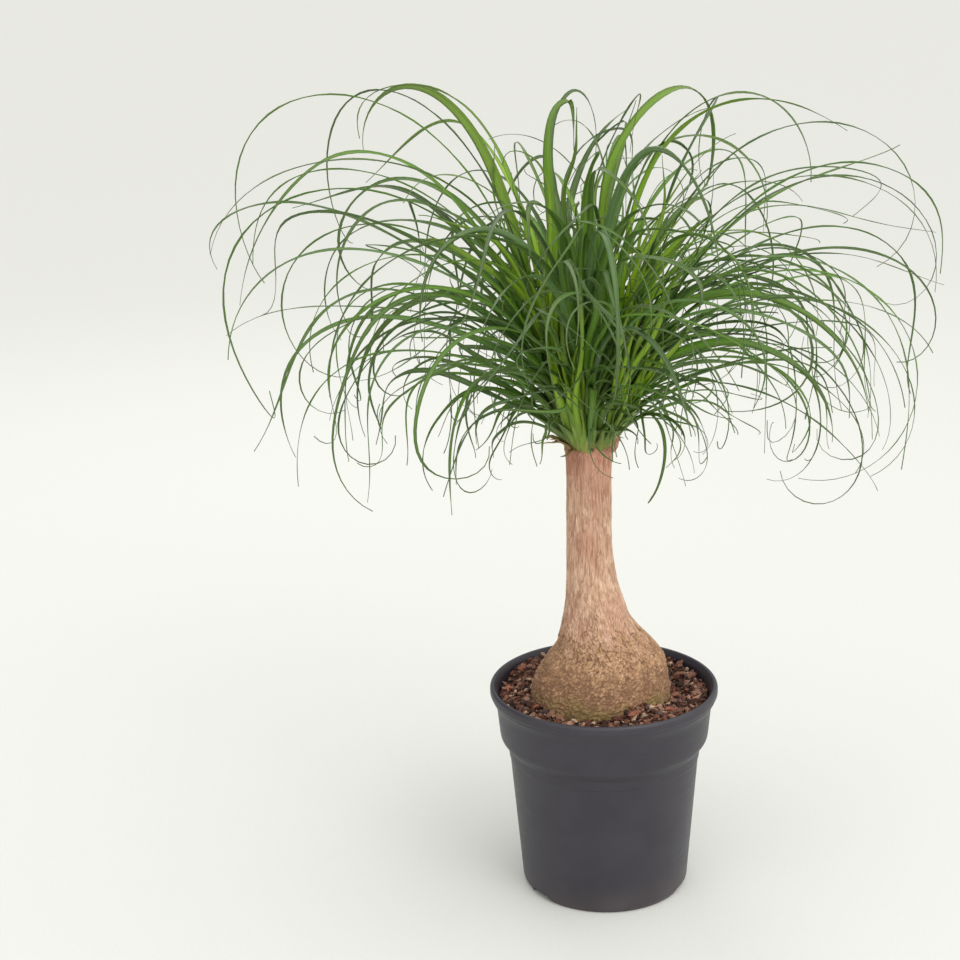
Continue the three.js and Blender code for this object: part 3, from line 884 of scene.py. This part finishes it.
def midrib(leaf, turn):
    """Points and headings along a leaf, kept clear of the next quarters if it is pressed."""
    out, side, up = leaf_root(leaf)
    step = leaf["length"] / LEAF_STEPS
    line = []
    for i in range(LEAF_STEPS + 1):
        kept_out, kept_side = out, side
        if leaf["pressed"]:
            kept_out = NEAREST - 12 + 12 * math.exp((out - NEAREST) / 12) if out < NEAREST else out
            root = between(0.35, 1, i / LEAF_STEPS / 0.16)
            wide = max(1.1, leaf["width"] * taper(i / LEAF_STEPS) * root)
            clear = (wide / 2 + 0.6) / math.cos(SECTOR)
            room = max(0.5, kept_out * math.tan(SECTOR) - clear)
            kept_side = room * math.tanh(side / room)
        middle = (i + 0.5) / LEAF_STEPS
        lean = leaf["lean"] * between(leaf["held"], 1, middle * leaf["length"] / SHEATH_HEIGHT)
        lean += leaf["bend"] * middle ** leaf["power"]
        heading = leaf["heading"] + leaf["drift"] * middle * middle
        beat = 6.3 * leaf["beat"] * middle + leaf["start"]
        late = max(0, middle - CURL_FROM) / 0.3
        sway = SWAY * leaf["sway"] * middle
        lean += sway * math.sin(beat) + leaf["curl"] * late * late
        heading += 2.2 * sway * math.cos(0.8 * beat) + 40 * leaf["veer"] * late
        lean, heading = math.radians(lean), math.radians(heading)
        x = STEM_X + kept_out * math.cos(turn) - kept_side * math.sin(turn)
        y = kept_out * math.sin(turn) + kept_side * math.cos(turn)
        line.append((x, y, up, heading + turn))
        out += step * math.sin(lean) * math.cos(heading)
        side += step * math.sin(lean) * math.sin(heading)
        up += step * math.cos(lean)
    return line


plain_leaf = {"seat": 0.5, "heading": 0, "length": 400, "lean": 20, "held": 1, "pressed": False}
plain_leaf |= {"bend": 160, "power": 2, "drift": 0, "sway": 0, "beat": 1, "start": 0}
tip = midrib({**plain_leaf, "curl": 0, "veer": 0}, 0)[-1]
print("a plain leaf of 400 mm ends at", [round(v) for v in tip[:3]])

# %% [markdown]
# The crown has an outline: a dome, flat on top, a little wider on the left, and higher at its lower
# edge in front, where the trunk shows. A leaf that would stick out of it is shortened and made
# straighter, a little at a time, as the solid ones are.

# %% The crown's outline
CROWN_TOP = 738
CROWN_SIDE = 313  # reach to the left and right of the crown's middle
CROWN_LEAN = 9  # how far left of the stem that middle lies
CROWN_DEPTH = 300  # reach to the front and back
CROWN_FLOOR = 362


def fits_crown(line, lowest, highest):
    """Is the whole leaf inside the outline of the crown, and clear of the stem past its foot?"""
    for x, y, z, _ in line[6:]:
        x -= STEM_X
        rise = 0.5 * max(0, -y - 0.3 * abs(x))
        wide = math.hypot((x + CROWN_LEAN) / CROWN_SIDE, y / CROWN_DEPTH) <= 1
        beside_stem = z > STEM_TOP + 5 or math.hypot(x, y) > 28
        if not (wide and beside_stem and lowest + rise <= z <= highest):
            return False
    return True


def shorten_to_fit(leaf, turn, lowest, highest=CROWN_TOP):
    """The leaf itself, after as many small cuts as it needs, but 24 at most."""
    for _ in range(24):
        if fits_crown(midrib(leaf, turn), lowest, highest):
            break
        leaf["length"] *= 0.965
        leaf["bend"] *= 0.95
    return leaf


print("the crown is", 2 * CROWN_SIDE, "mm wide and", 2 * CROWN_DEPTH, "mm deep at most")

# %% [markdown]
# New leaves could be strewn round a shoot by chance, but then some would sit on top of each other.
# A growing point sets each leaf a fixed share of a turn from the last, the golden one, which never
# repeats, and so does this rule. A leaf's age decides its habit. The newest are short and upright,
# the grown ones are the longest and make the fountain, and the old ones outside hang.

# %% One leaf of a rosette
LEAVES_PER_SHOOT = 37
GOLDEN = 0.618034  # share of a turn from each leaf to the next


def draw_leaf(number, phase, chance, turn, habit):
    """One leaf of a rosette, which leans, bends and hangs as its age decides."""
    age = (number + 0.5) / LEAVES_PER_SHOOT
    around = ((phase + number * GOLDEN) % 1) * 2 - 1
    leaf = {"age": age, "seat": 0.96 - 0.56 * age, "pressed": True, "held": HELD_SHARE, **habit}
    leaf["heading"] = between(125, 52, age / 0.3) * around + 8 * (chance() - 0.5)
    leaf["heading"] *= leaf["spread"] if age < 0.6 else 1
    grown = (age - 0.13) / 0.47
    old = (age - 0.6) / 0.4
    lean, length, bend, width, power = [chance() for _ in range(5)]
    if age < 0.13:
        leaf["lean"] = 1 + 13 * lean
        leaf["length"] = 150 + 170 * length
        leaf["bend"] = 20 + 80 * bend
        leaf["width"] = 6.5 + 2.5 * width
        leaf["power"] = 1.5 + power
    elif age < 0.6:
        leaf["lean"] = between(4, 40, grown) + 16 * (lean - 0.5)
        leaf["length"] = between(390, 530, grown) * (0.68 + 0.5 * length)
        leaf["bend"] = between(150, 200, grown) * (0.7 + 0.6 * bend)
        leaf["width"] = 6 + 3.6 * width
        leaf["power"] = 1.5 + 1.1 * power
    else:
        leaf["lean"] = between(34, 68, old) + 14 * (lean - 0.5)
        leaf["length"] = between(480, 330, old) * (0.75 + 0.45 * length)
        leaf["bend"] = between(185, 125, old) * (0.75 + 0.5 * bend)
        leaf["width"] = 5.2 + 3 * width
        leaf["power"] = 1.4 + 0.9 * power
    leaf["drift"] = 140 * (chance() - 0.5)
    leaf["roll"] = 50 * (chance() - 0.5)
    leaf["twist"] = 150 * (chance() - 0.5)
    return shorten_to_fit(leaf, turn, CROWN_FLOOR + 90 * chance() ** 2)


for number in (0, 15, 36):
    made = draw_leaf(number, 0, seeded_random(1), 0, {"spread": 1, **quirks(seeded_random(2), 0.9)})
    print("leaf", number, "of a rosette is", round(made["length"]), "mm long")

# %% [markdown]
# Some long leaves give this plant its own outline, such as the great loops to the upper left. They
# are listed one by one, with the same eight values each as in the solid shoots, and two more. The
# look is above 0 for a yellow green young leaf, and below 0 for a grown one with a pale painted
# sheen, a colour that stands for light glancing off the blade. The reach is how far out the blade
# stays
# broad: the great loops narrow early, others are wide ribbons.

# %% Outline leaves
OUTLINE_KEYS = (
    "heading", "lean", "length", "bend", "power", "drift", "width", "seat", "look", "reach",
)
OUTLINE_LEAVES = {
    "front": [
        (7, 5, 436, 264, 1.9, 1, 9, 0.7, -0.7, 0.65),
        (12, 11.5, 139, 232, 0.8, -90, 6.4, 0.95, -0.1, 0.8),
        (-16, 14, 344, 118, 1.1, 4, 8, 0.93, -0.5, 0.7),
        (22, 10, 281, 146, 1.04, 6, 8, 0.76, -0.6, 0.75),
        (17, 8.5, 492, 170, 2.09, 15, 8, 0.48, -0.7, 0.75),
        (-23, -12, 536, 162, 0.81, -83, 8.5, 0.58, 0, 0.6),
        (43, -5, 425, 176, 2.8, 70, 8.6, 0.55, 0, 0.5),
    ],
    "right": [
        (8, -8, 504, 320, 3.06, 90, 9.6, 0.41, 0.25, 0.85),
        (-44, -2, 441, 174, 2.18, 1, 8, 0.95, 0.1, 0.5),
        (-2, 10, 527, 231, 2.5, -2, 7, 0.41, 0, 0.35),
        (-44, 17, 475, 172, 2.2, 72, 6.5, 0.44, 0, 0.35),
        (-18, -6.5, 321, 180, 0.87, 19, 7.5, 0.88, 0.1, 0.75),
        (-44, 40.5, 428, 186, 1.85, 58, 6.5, 0.88, 0, 0.3),
        (-6, 26, 513, 260, 1.5, 15, 6.5, 0.81, 0, 0.3),
        (-44, 49, 266, 136, 1.8, 54, 8, 0.95, 0, 0.75),
        (44, 47.5, 215, 80, 0.8, -24, 8, 0.7, 0, 0.7),
        (-44, -8, 424, 207, 2.54, 16, 7, 0.41, 0.2, 0.7),
    ],
    "back": [
        (19, 40, 366, 17, 3.98, -82, 9, 0.41, 0, 0.9),
        (-11, 41, 411, 64, 4, 90, 7, 0.44, 0, 0.5),
        (-16, 25, 416, 93, 2.54, 66, 7, 0.41, 0, 0.5),
        (-10, 14, 470, 180, 2, 10, 7.5, 0.7, 0, 0.5),
        (28, 24, 450, 190, 1.8, -10, 7, 0.6, 0, 0.5),
    ],
    "left": [
        (-44, 17, 458, 169, 3.48, 2, 10, 0.62, 0.4, 0.85),
        (8, 10.5, 620, 245, 2.27, -64, 7.5, 0.59, 0.05, 0.4),
        (-16, 9.5, 576, 267, 2.31, -63, 8, 0.9, 0, 0.4),
        (17, 12, 472, 159, 1.64, -90, 7, 0.79, 0.1, 0.45),
        (27, 18, 646, 314, 1.78, -120, 7, 0.95, 0, 0.4),
        (4, 18, 481, 258, 2.03, -25, 7, 0.57, 0, 0.45),
        (44, 16.5, 381, 183, 1.87, -68, 7, 0.57, 0.1, 0.45),
        (-42, 6, 367, 196, 1.09, 85, 8, 0.56, 0.15, 0.75),
        (44, -7, 275, 203, 0.8, 40, 7.5, 0.45, 0.1, 0.75),
        (44, 44, 135, 57, 0.8, -119, 8, 0.95, 0, 0.8),
        (44, -12, 376, 203, 1.58, 20, 8, 0.44, -0.7, 0.75),
        (44, 2, 393, 198, 4.5, 120, 9, 0.41, 0.2, 0.95),
    ],
}
print({shoot: len(rows) for shoot, rows in OUTLINE_LEAVES.items()}, "leaves set by hand")

# %% [markdown]
# Most of these leaves stand on edge to some degree, as leaves do. A few ribbons at the front turn
# their flat side to the eye, so their roll about the midrib is given.

# %% The leaves that the solids have
LEAF_SEEDS = {"front": 4104, "right": 4106, "back": 4101, "left": 4111}
SPREAD = {"front": 0.45, "right": 1, "back": 1, "left": 1}  # how wide the upright leaves fan
SHOWN_FLAT = {  # roll and twist in degrees of the ribbons that show their flat side at the front
    ("left", 0): (-30, -50),
    ("left", 7): (-30, -100),
    ("left", 10): (15, 125),
    ("front", 4): (30, -150),
    ("right", 4): (-60, -75),
    ("right", 7): (-60, -75),
}


def solid_leaves(shoot, turn):
    """The leaves that the solid shoot has too."""
    chance = seeded_random(LEAF_SEEDS[shoot])
    own = seeded_random(LEAF_SEEDS[shoot] + 50)
    leaves = []
    for i, row in enumerate(OUTLINE_LEAVES[shoot]):
        roll, twist = SHOWN_FLAT.get((shoot, i), (8, 25))
        habit = {"age": 0.4, "roll": roll, "twist": twist, "pressed": True, "held": 1}
        leaves.append({**habit, **dict(zip(OUTLINE_KEYS, row)), **quirks(own, 0.1)})
    phase = chance()
    for i in range(LEAVES_PER_SHOOT):
        habit = {"spread": SPREAD[shoot], **quirks(own, 0.9)}
        leaves.append(draw_leaf(i, phase, chance, turn, habit))
    return leaves


print("the front shoot has", len(solid_leaves("front", math.radians(FIRST_SHOOT_TURN))), "of them")

# %% [markdown]
# The living plant has more leaves than the solids hold: thin ones that wander across the gaps
# between the shoots and curl into loops, a thinner web behind them, short curly ones round the foot
# of the crown, new ones in each heart, broad sheaths, and old leaves whose feet clasp the rim of
# the stem. Two tufts of bright new leaves stand in front, to either side. All follow the same walk,
# but aren't pressed into a quarter. Each kind is a row of least and greatest values, because a
# table of kinds is easier to balance against each other than code for each.

# %% Kinds of fine leaves
FINE_KEYS = (
    "age", "seat", "heading", "lean", "length", "bend", "power", "width", "drift", "reach",
)
FINE_LEAVES = {  # kind: how many on each shoot, then least and greatest of each value
    "wander": [(9, 14, 16, 16), (0.3, 0.9), (0.9, 0.5), (-120, 120), (4, 52), (280, 480),
               (150, 270), (1.2, 2.3), (4, 7.5), (-150, 150)],
    "web": [(0, 6, 4, 0), (0.5, 0.9), (0.9, 0.6), (-70, 50), (6, 34), (330, 480),
            (110, 210), (1.5, 2.3), (3.5, 5), (-120, 120)],
    "curl": [(6, 6, 6, 6), (0.5, 0.9), (0.35, 0.6), (-110, 110), (60, 110), (110, 230),
             (60, 170), (0.9, 1.7), (4.6, 7.5), (-120, 120)],
    "young": [(4, 14, 8, 14), (0.02, 0.12), (0.96, 0.84), (-170, 170), (2, 18), (120, 240),
              (15, 90), (1.5, 2.5), (8.5, 12), (-40, 40)],
    "heart_left": [(0, 0, 0, 11), (0.02, 0.12), (1, 0), (50, 84), (44, 60), (130, 230),
                   (-58, -42), (0.4, 0.7), (7.5, 10.5), (-30, 30), (0.7, 1)],
    "heart_right": [(0, 11, 0, 0), (0.02, 0.12), (1, 0), (-62, -22), (48, 64), (130, 230),
                    (-52, -32), (0.4, 0.7), (7.5, 10.5), (-30, 30), (0.7, 1)],
    "sheath": [(4, 12, 8, 12), (0.3, 0.6), (0.75, 0.35), (-100, 100), (14, 50), (110, 250),
               (20, 130), (1, 2), (6, 9.5), (-20, 20)],
    "clasp": [(12, 14, 12, 14), (0.6, 0.95), (1, 0), (-50, 50), (26, 62), (110, 300),
              (50, 170), (1, 1.8), (6.5, 9.5), (-40, 40)],
    "dry": [(3, 4, 2, 4), (0.9, 1), (1, 0), (-45, 45), (50, 110), (25, 70),
            (20, 160), (1, 2), (3, 6), (-60, 60)],
}
print(sum(sum(counts) for counts, *_ in FINE_LEAVES.values()), "fine leaves in all")

# %% [markdown]
# A fine leaf is drawn from the row of its kind. Like a solid leaf it is shortened until it fits the
# crown, and an old one sits lower on its stub than a new one.

# %% Fine leaves
FINE_SEED = 911
FINE_TOP = CROWN_TOP - 16


def fine_leaf(kind, ranges, chance, turn):
    """One leaf, with its seat lower the older it is."""
    leaf = {"kind": kind, "pressed": False, "held": 0.7 if kind in FROM_RIM else HELD_SHARE}
    leaf["roll"] = 60 * (chance() - 0.5)
    leaf["twist"] = 400 * (chance() - 0.5)
    age = chance()
    for key, (least, greatest) in zip(FINE_KEYS, ranges):
        leaf[key] = between(least, greatest, age if key in ("age", "seat") else chance())
    leaf.update(quirks(chance, 1.2))
    return shorten_to_fit(leaf, turn, CROWN_FLOOR + 70 * chance(), FINE_TOP)


def fine_leaves(number, turn):
    """All the fine leaves of one shoot."""
    chance = seeded_random(FINE_SEED + 31 * number)
    leaves = []
    for kind, (counts, *ranges) in FINE_LEAVES.items():
        leaves += [fine_leaf(kind, ranges, chance, turn) for _ in range(counts[number])]
    return leaves


lengths = [leaf["length"] for leaf in fine_leaves(0, math.radians(FIRST_SHOOT_TURN))]
print("in front they are", round(min(lengths)), "to", round(max(lengths)), "mm long")

# %% [markdown]
# ## The blade
#
# In section a blade is a shallow gutter: its edges stand higher than its midrib, and it is barely
# half a millimetre thick. At its foot it widens and wraps the shoot, and its tip ends in a thread.
# A flat strip with a Solidify modifier would be quicker, but the gutter matters: one half of each
# leaf catches the light and the other half doesn't.

# %% Blade section and width
BLADE_SECTION = [  # across from edge to edge, and below the upper side as a share of the thickness
    (-1.0, 0.2),
    (-0.55, 0.0),
    (0.0, 0.0),
    (0.55, 0.0),
    (1.0, 0.2),
    (0.6, 1.0),
    (0.0, 1.3),
    (-0.6, 1.0),
]
BLADE_THICKNESS = 0.55
GUTTER = 0.23  # depth as a share of the width
FOOT_GUTTER = 0.22  # how much deeper it is at the foot
FOOT_WIDTH = 0.4  # how much wider the blade is there, as a share
FOOT_LENGTH = 26
TIP_WIDTH = 0.8
RIPPLE = 0.35  # rise and fall of the edges
RIPPLE_LENGTH = 11


def broadness(leaf, t):
    """Width along the blade as a share: a ribbon for a great reach, a thread for a small one."""
    fullness = between(0.9, 3.2, (leaf["reach"] - 0.3) / 0.7)
    return (1 - t**fullness) ** 0.8 * (1 - 0.2 * t) * np.minimum(1, 14 * (1 - t) + 0.05)


for reach in (0.3, 1):
    shares = broadness({"reach": reach}, np.array([0.2, 0.5, 0.8]))
    print("with a reach of", reach, "the blade's width is", shares.round(2))

# %% [markdown]
# Each ring of the blade needs three directions: along the midrib, across the blade and out of its
# upper side. Those come from the walk's heading and not from the curve's own bend, because a frame
# taken from the bend flips over where a leaf straightens. The roll and the twist then turn them.

# %% Blade mesh
def unit(rows):
    """Directions from rows of any length."""
    return rows / np.linalg.norm(rows, axis=1)[:, None]


def blade_frame(leaf, turn):
    """Places along the midrib, and the directions across the blade and above it."""
    line = np.array(midrib(leaf, turn))
    places, headings = line[:, :3], line[:, 3]
    along = unit(np.gradient(places, axis=0))
    flat = np.stack([-np.sin(headings), np.cos(headings), np.zeros_like(headings)], -1)
    flat = unit(flat - along * np.sum(flat * along, axis=1)[:, None])
    upright = np.cross(along, flat)
    t = np.linspace(0, 1, len(places))
    spin = np.radians(leaf["roll"] + leaf["twist"] * t)[:, None]
    spin *= smooth_step(0, 60, t * leaf["length"])[:, None]
    across = flat * np.cos(spin) + upright * np.sin(spin)
    above = upright * np.cos(spin) - flat * np.sin(spin)
    return places, across, above


def blade(leaf, turn, tone, youth, painted_sheen):
    """Points, facts and places across and along for one leaf."""
    places, across, above = blade_frame(leaf, turn)
    t = np.linspace(0, 1, len(places))
    foot = np.exp(-((t * leaf["length"] / FOOT_LENGTH) ** 2))
    width = leaf["breadth"] * leaf["width"] * (broadness(leaf, t) + FOOT_WIDTH * foot)
    width = np.maximum(width, TIP_WIDTH)
    depth = width * (GUTTER + FOOT_GUTTER * foot) * (1 - 0.5 * t)
    thick = BLADE_THICKNESS * (1.1 - 0.6 * t)
    ripple = RIPPLE * np.sin(t * leaf["length"] / RIPPLE_LENGTH + 9 * tone)
    ripple *= np.minimum(1, 6 * t * (1 - t))
    points, facts, marks = [], [], []
    for side, under in BLADE_SECTION:
        rise = depth * side * side - thick * under + ripple * side
        points.append(places + across * (0.5 * width * side)[:, None] + above * rise[:, None])
        facts.append(np.stack([t, *[np.full_like(t, value) for value in (tone, youth, painted_sheen)]], -1))
        marks.append(np.stack([np.full_like(t, side), t * leaf["length"] * MM], -1))
    around = len(BLADE_SECTION)
    return [np.stack(rows, 1).reshape(len(t) * around, -1) for rows in (points, facts, marks)]


print("a blade has", (LEAF_STEPS + 1) * len(BLADE_SECTION), "points")

# %% [markdown]
# Every leaf gets a tone, a youth and a painted sheen: the side shoots carry bright new leaves in
# their middle, those at the front and back are darker, and a few grown leaves are painted pale, for
# sheen.
# How soon a blade narrows differs too: soonest on the right shoot.

# %% Looks of a leaf
YOUTH = {"front": 0.15, "right": 1.0, "back": 0.4, "left": 0.95}
BREADTH = {"front": 1.1, "right": 0.8, "back": 0.9, "left": 1.05}
OLD_BREADTH = {"front": 0.55, "right": 0.75, "back": 0.8, "left": 0.75}  # share left when old
REACH = {"front": (0.5, 1), "right": (0.3, 0.7), "back": (0.35, 0.75), "left": (0.35, 0.85)}
LIGHTEST = {"front": 0.8, "right": 0.85, "back": 0.75, "left": 1}


def looks(leaf, shoot, chance):
    """The leaf's tone, youth and painted sheen, with its breadth and reach set on the way."""
    age = leaf["age"]
    youth = YOUTH[shoot] * between(1, 0, (age - 0.08) / 0.2) * (0.6 + 0.4 * chance())
    youth = -1 if leaf.get("kind") == "dry" else youth
    # A few grown leaves get a pale painted sheen, a colour that stands for light glancing off them.
    painted_sheen = between(0, 0.6, (chance() - 0.75) / 0.25) if age > 0.3 else 0
    leaf["breadth"] = BREADTH[shoot] * between(1, OLD_BREADTH[shoot], (age - 0.3) / 0.4)
    if "look" in leaf:
        youth, painted_sheen = max(0, leaf["look"]), max(0, -leaf["look"])
        leaf["breadth"] = between(0.6, 1.25, (leaf["reach"] - 0.3) / 0.6)
    leaf.setdefault("reach", between(*REACH[shoot], chance()))
    return LIGHTEST[shoot] * chance(), youth, painted_sheen


sample = looks({"age": 0.1}, "left", seeded_random(1))
print("a new leaf on the left has tone, youth and bloom", [round(v, 2) for v in sample])

# %% [markdown]
# Each shoot becomes one mesh: its stub, which shows between the leaf bases here and there, and its
# leaves. An object for each leaf would be easier to move, but nothing here moves, and one mesh for
# a shoot keeps the frame's four parts. The places across and along each blade go into a UV map.

# %% Shoot meshes
TONE_SEED = 77
STUB_RINGS = 12
STUB_SIDES = 24
STUB_FACTS = (0.02, 0.5, 0.3, 0)  # along, tone, youth and painted sheen


def stub_rings(turn):
    """The shoot's own stub, under the leaf bases."""
    angles = np.linspace(0, 2 * math.pi, STUB_SIDES, endpoint=False)
    rings = []
    for t in np.linspace(0, 1, STUB_RINGS):
        out, up = stub_point(t)
        x = STEM_X + out * math.cos(turn) + stub_radius(t) * np.cos(angles)
        y = out * math.sin(turn) + stub_radius(t) * np.sin(angles)
        rings.append(np.stack([x, y, np.full_like(x, up)], -1))
    return np.concatenate(rings)


def make_shoot(number, shoot):
    """The mesh of one shoot: its stub and all its leaves."""
    turn = math.radians(FIRST_SHOOT_TURN + 90 * number)
    chance = seeded_random(TONE_SEED + number)
    stub = stub_rings(turn)
    made = [(stub, np.tile([STUB_FACTS], (len(stub), 1)), np.zeros((len(stub), 2)))]
    faces = ring_faces(STUB_RINGS, STUB_SIDES)
    count = len(stub)
    for leaf in solid_leaves(shoot, turn) + fine_leaves(number, turn):
        made.append(blade(leaf, turn, *looks(leaf, shoot, chance)))
        faces += ring_faces(LEAF_STEPS + 1, len(BLADE_SECTION), first=count)
        count += len(made[-1][0])
    print(shoot, "shoot:", len(made) - 1, "leaves")
    points, facts, marks = [np.concatenate(rows) for rows in zip(*made)]
    piece = make_piece("leaves_" + shoot, points, faces, facts)
    lines = piece.data.uv_layers.new(name="blade")
    corner_points = np.empty(len(piece.data.loops), np.int32)
    piece.data.loops.foreach_get("vertex_index", corner_points)
    lines.data.foreach_set("uv", marks[corner_points].ravel())
    return piece


shoots = [make_shoot(number, shoot) for number, shoot in enumerate(SHOOTS)]

# %% [markdown]
# ## The leaf finish
#
# A leaf is olive where it clasps the shoot, deep green along its blade and grey green at its thread
# of a tip. New leaves are yellow green, and fine ribs run along it. A lighter midrib and darker
# edges are a painted highlight and painted shade, for the light and dark halves of its gutter, and
# some grown leaves get a pale painted sheen. Noise in space would cut across a blade, so all of
# these are drawn from the place across and along it that every corner carries, and follow each
# twist. A little light passes through the blade, which subsurface scattering gives without a second
# shader.

# %% Leaf finish
leaf_green, tree, shader, place = new_finish("leaf_green")
along, tone, youth, painted_sheen = facts_of(tree)
marks = add(tree, "UVMap", uv_map="blade").outputs["UV"]
side, distance, _ = add(tree, "SeparateXYZ", {"Vector": marks}).outputs
mottle = grain(tree, place, 0.03, detail=3)
base = blend(tree, tone, colour(24, 54, 8), colour(102, 154, 14))
base = blend(tree, scaled(tree, mottle, 0.35, 0.7, 0, 0.35), base, colour(70, 104, 24))
unfolded = scaled(tree, distance, 0.01, 0.07, 0.2, 1)
glow = reckon(tree, "MULTIPLY", scaled(tree, youth, 0, 1), unfolded)
base = blend(tree, glow, base, colour(182, 228, 16))
# Painted sheen: a pale grey green laid over some leaves, for light glancing off their upper side.
base = blend(tree, scaled(tree, painted_sheen, 0, 1, 0, 0.6), base, colour(128, 164, 122))
base = blend(tree, scaled(tree, distance, 0.08, 0.01, 0, 0.6), base, colour(104, 118, 58))
base = blend(tree, scaled(tree, distance, 0.014, 0.0, 0, 0.5), base, colour(146, 112, 72))
base = blend(tree, scaled(tree, along, 0.2, 0.9, 0, 0.85), base, colour(60, 72, 48))
base = blend(tree, scaled(tree, youth, 0, -1), base, colour(150, 118, 84))
from_midrib = reckon(tree, "ABSOLUTE", side)
# Painted shade: the outer half of each blade is darkened, for the side of its gutter turned from
# the light.
base = blend(tree, scaled(tree, from_midrib, 0.5, 1.0, 0, 0.4), base, colour(24, 46, 12))
# Painted highlight: a lighter line along the midrib, for the light caught down the middle of the
# gutter.
base = blend(tree, scaled(tree, from_midrib, 0.16, 0.0, 0, 0.25), base, colour(150, 184, 70))
ribs = reckon(tree, "SINE", reckon(tree, "MULTIPLY", side, 34.0))
base = blend(tree, scaled(tree, ribs, -1, 1, 0, 0.14), base, colour(150, 176, 110))
cover(tree, shader, base, scaled(tree, mottle, 0.3, 0.7, 0.34, 0.5), 0.3)
shader.inputs["Subsurface Weight"].default_value = 0.2
shader.inputs["Subsurface Radius"].default_value = (0.5, 1.0, 0.15)
shader.inputs["Subsurface Scale"].default_value = 0.0012
raise_surface(tree, shader, ribs, 0.25, 0.0001)
for piece, shoot in zip(shoots, SHOOTS):
    put_in_frame(piece, leaf_green, "leaf_green", "shoot_" + shoot)

# %% [markdown]
# ## Floor and light
#
# The plant stands on a wide pale floor. A curved backdrop would need a seam or a very long bend, so
# the floor simply runs on until it meets the bright sky, and the edge is out of the picture.

# %% Floor
FLOOR_RADIUS = 120
floor_shape = bmesh.new()
bmesh.ops.create_circle(floor_shape, cap_ends=True, segments=96, radius=FLOOR_RADIUS)
floor_mesh = bpy.data.meshes.new("floor")
floor_shape.to_mesh(floor_mesh)
floor_shape.free()
floor = bpy.data.objects.new("floor", floor_mesh)
bpy.context.scene.collection.objects.link(floor)
floor_paper, tree, shader, place = new_finish("floor_paper")
shade = grain(tree, place, 0.004, detail=2)
base = blend(tree, scaled(tree, shade, 0.3, 0.7), colour(208, 209, 205), colour(210, 211, 207))
cover(tree, shader, base, 0.9, 0.5)
floor_mesh.materials.append(floor_paper)
floor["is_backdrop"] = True
print("floor is", 2 * FLOOR_RADIUS, "m across")

# %% [markdown]
# Studio light is soft, because its lamps are large. One lamp would leave the heart of the crown
# black. So there are three: a key lamp above on the right, a weak fill on the left, and one behind
# that edges the thin leaves. Most of the light still comes from a soft sky, brighter on the right.

# %% Light
LAMPS = [  # name, place, width, watts
    ("key", (1.2, -1.7, 2.2), 1.3, 16),
    ("fill", (-1.9, -1.4, 1.2), 1.3, 5),
    ("back", (-0.5, 1.9, 2.0), 1.4, 9),
]
LIT_POINT = Vector((0, 0, 0.4))
SKY_BRIGHTEST = (0.45, -0.6, 0.75)
SKY_DARK = (0.34, 0.35, 0.35, 1)
SKY_LIGHT = (1.9, 1.88, 1.82, 1)
for name, where, width, watts in LAMPS:
    lamp = bpy.data.lights.new(name, "AREA")
    lamp.size = width
    lamp.energy = watts
    held = bpy.data.objects.new(name, lamp)
    held.location = where
    held.rotation_euler = (LIT_POINT - Vector(where)).to_track_quat("-Z", "Y").to_euler()
    bpy.context.scene.collection.objects.link(held)
sky = bpy.data.worlds.new("sky")
sky.use_nodes = True
tree = sky.node_tree
directions = {0: add(tree, "TexCoord").outputs["Generated"], 1: Vector(SKY_BRIGHTEST).normalized()}
faced = add(tree, "VectorMath", directions, operation="DOT_PRODUCT").outputs["Value"]
light = blend(tree, scaled(tree, faced, -0.3, 1.0), SKY_DARK, SKY_LIGHT)
feed(tree, tree.nodes["Background"].inputs["Color"], light)
bpy.context.scene.world = sky
bpy.context.scene.view_settings.view_transform = "Standard"
print(len(LAMPS), "lamps and a bright sky")

# %% [markdown]
# ## The two boxes
#
# The dressed plant has to fill the same box as the solids, since others will place it by that box.
# A glance at a render wouldn't show a few millimetres, so both boxes are measured and kept.

dressed_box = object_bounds()
boxes = {"part": part_box, "dressed": dressed_box}
for name, box in boxes.items():
    print(name, [[round(v, 3) for v in corner] for corner in box])
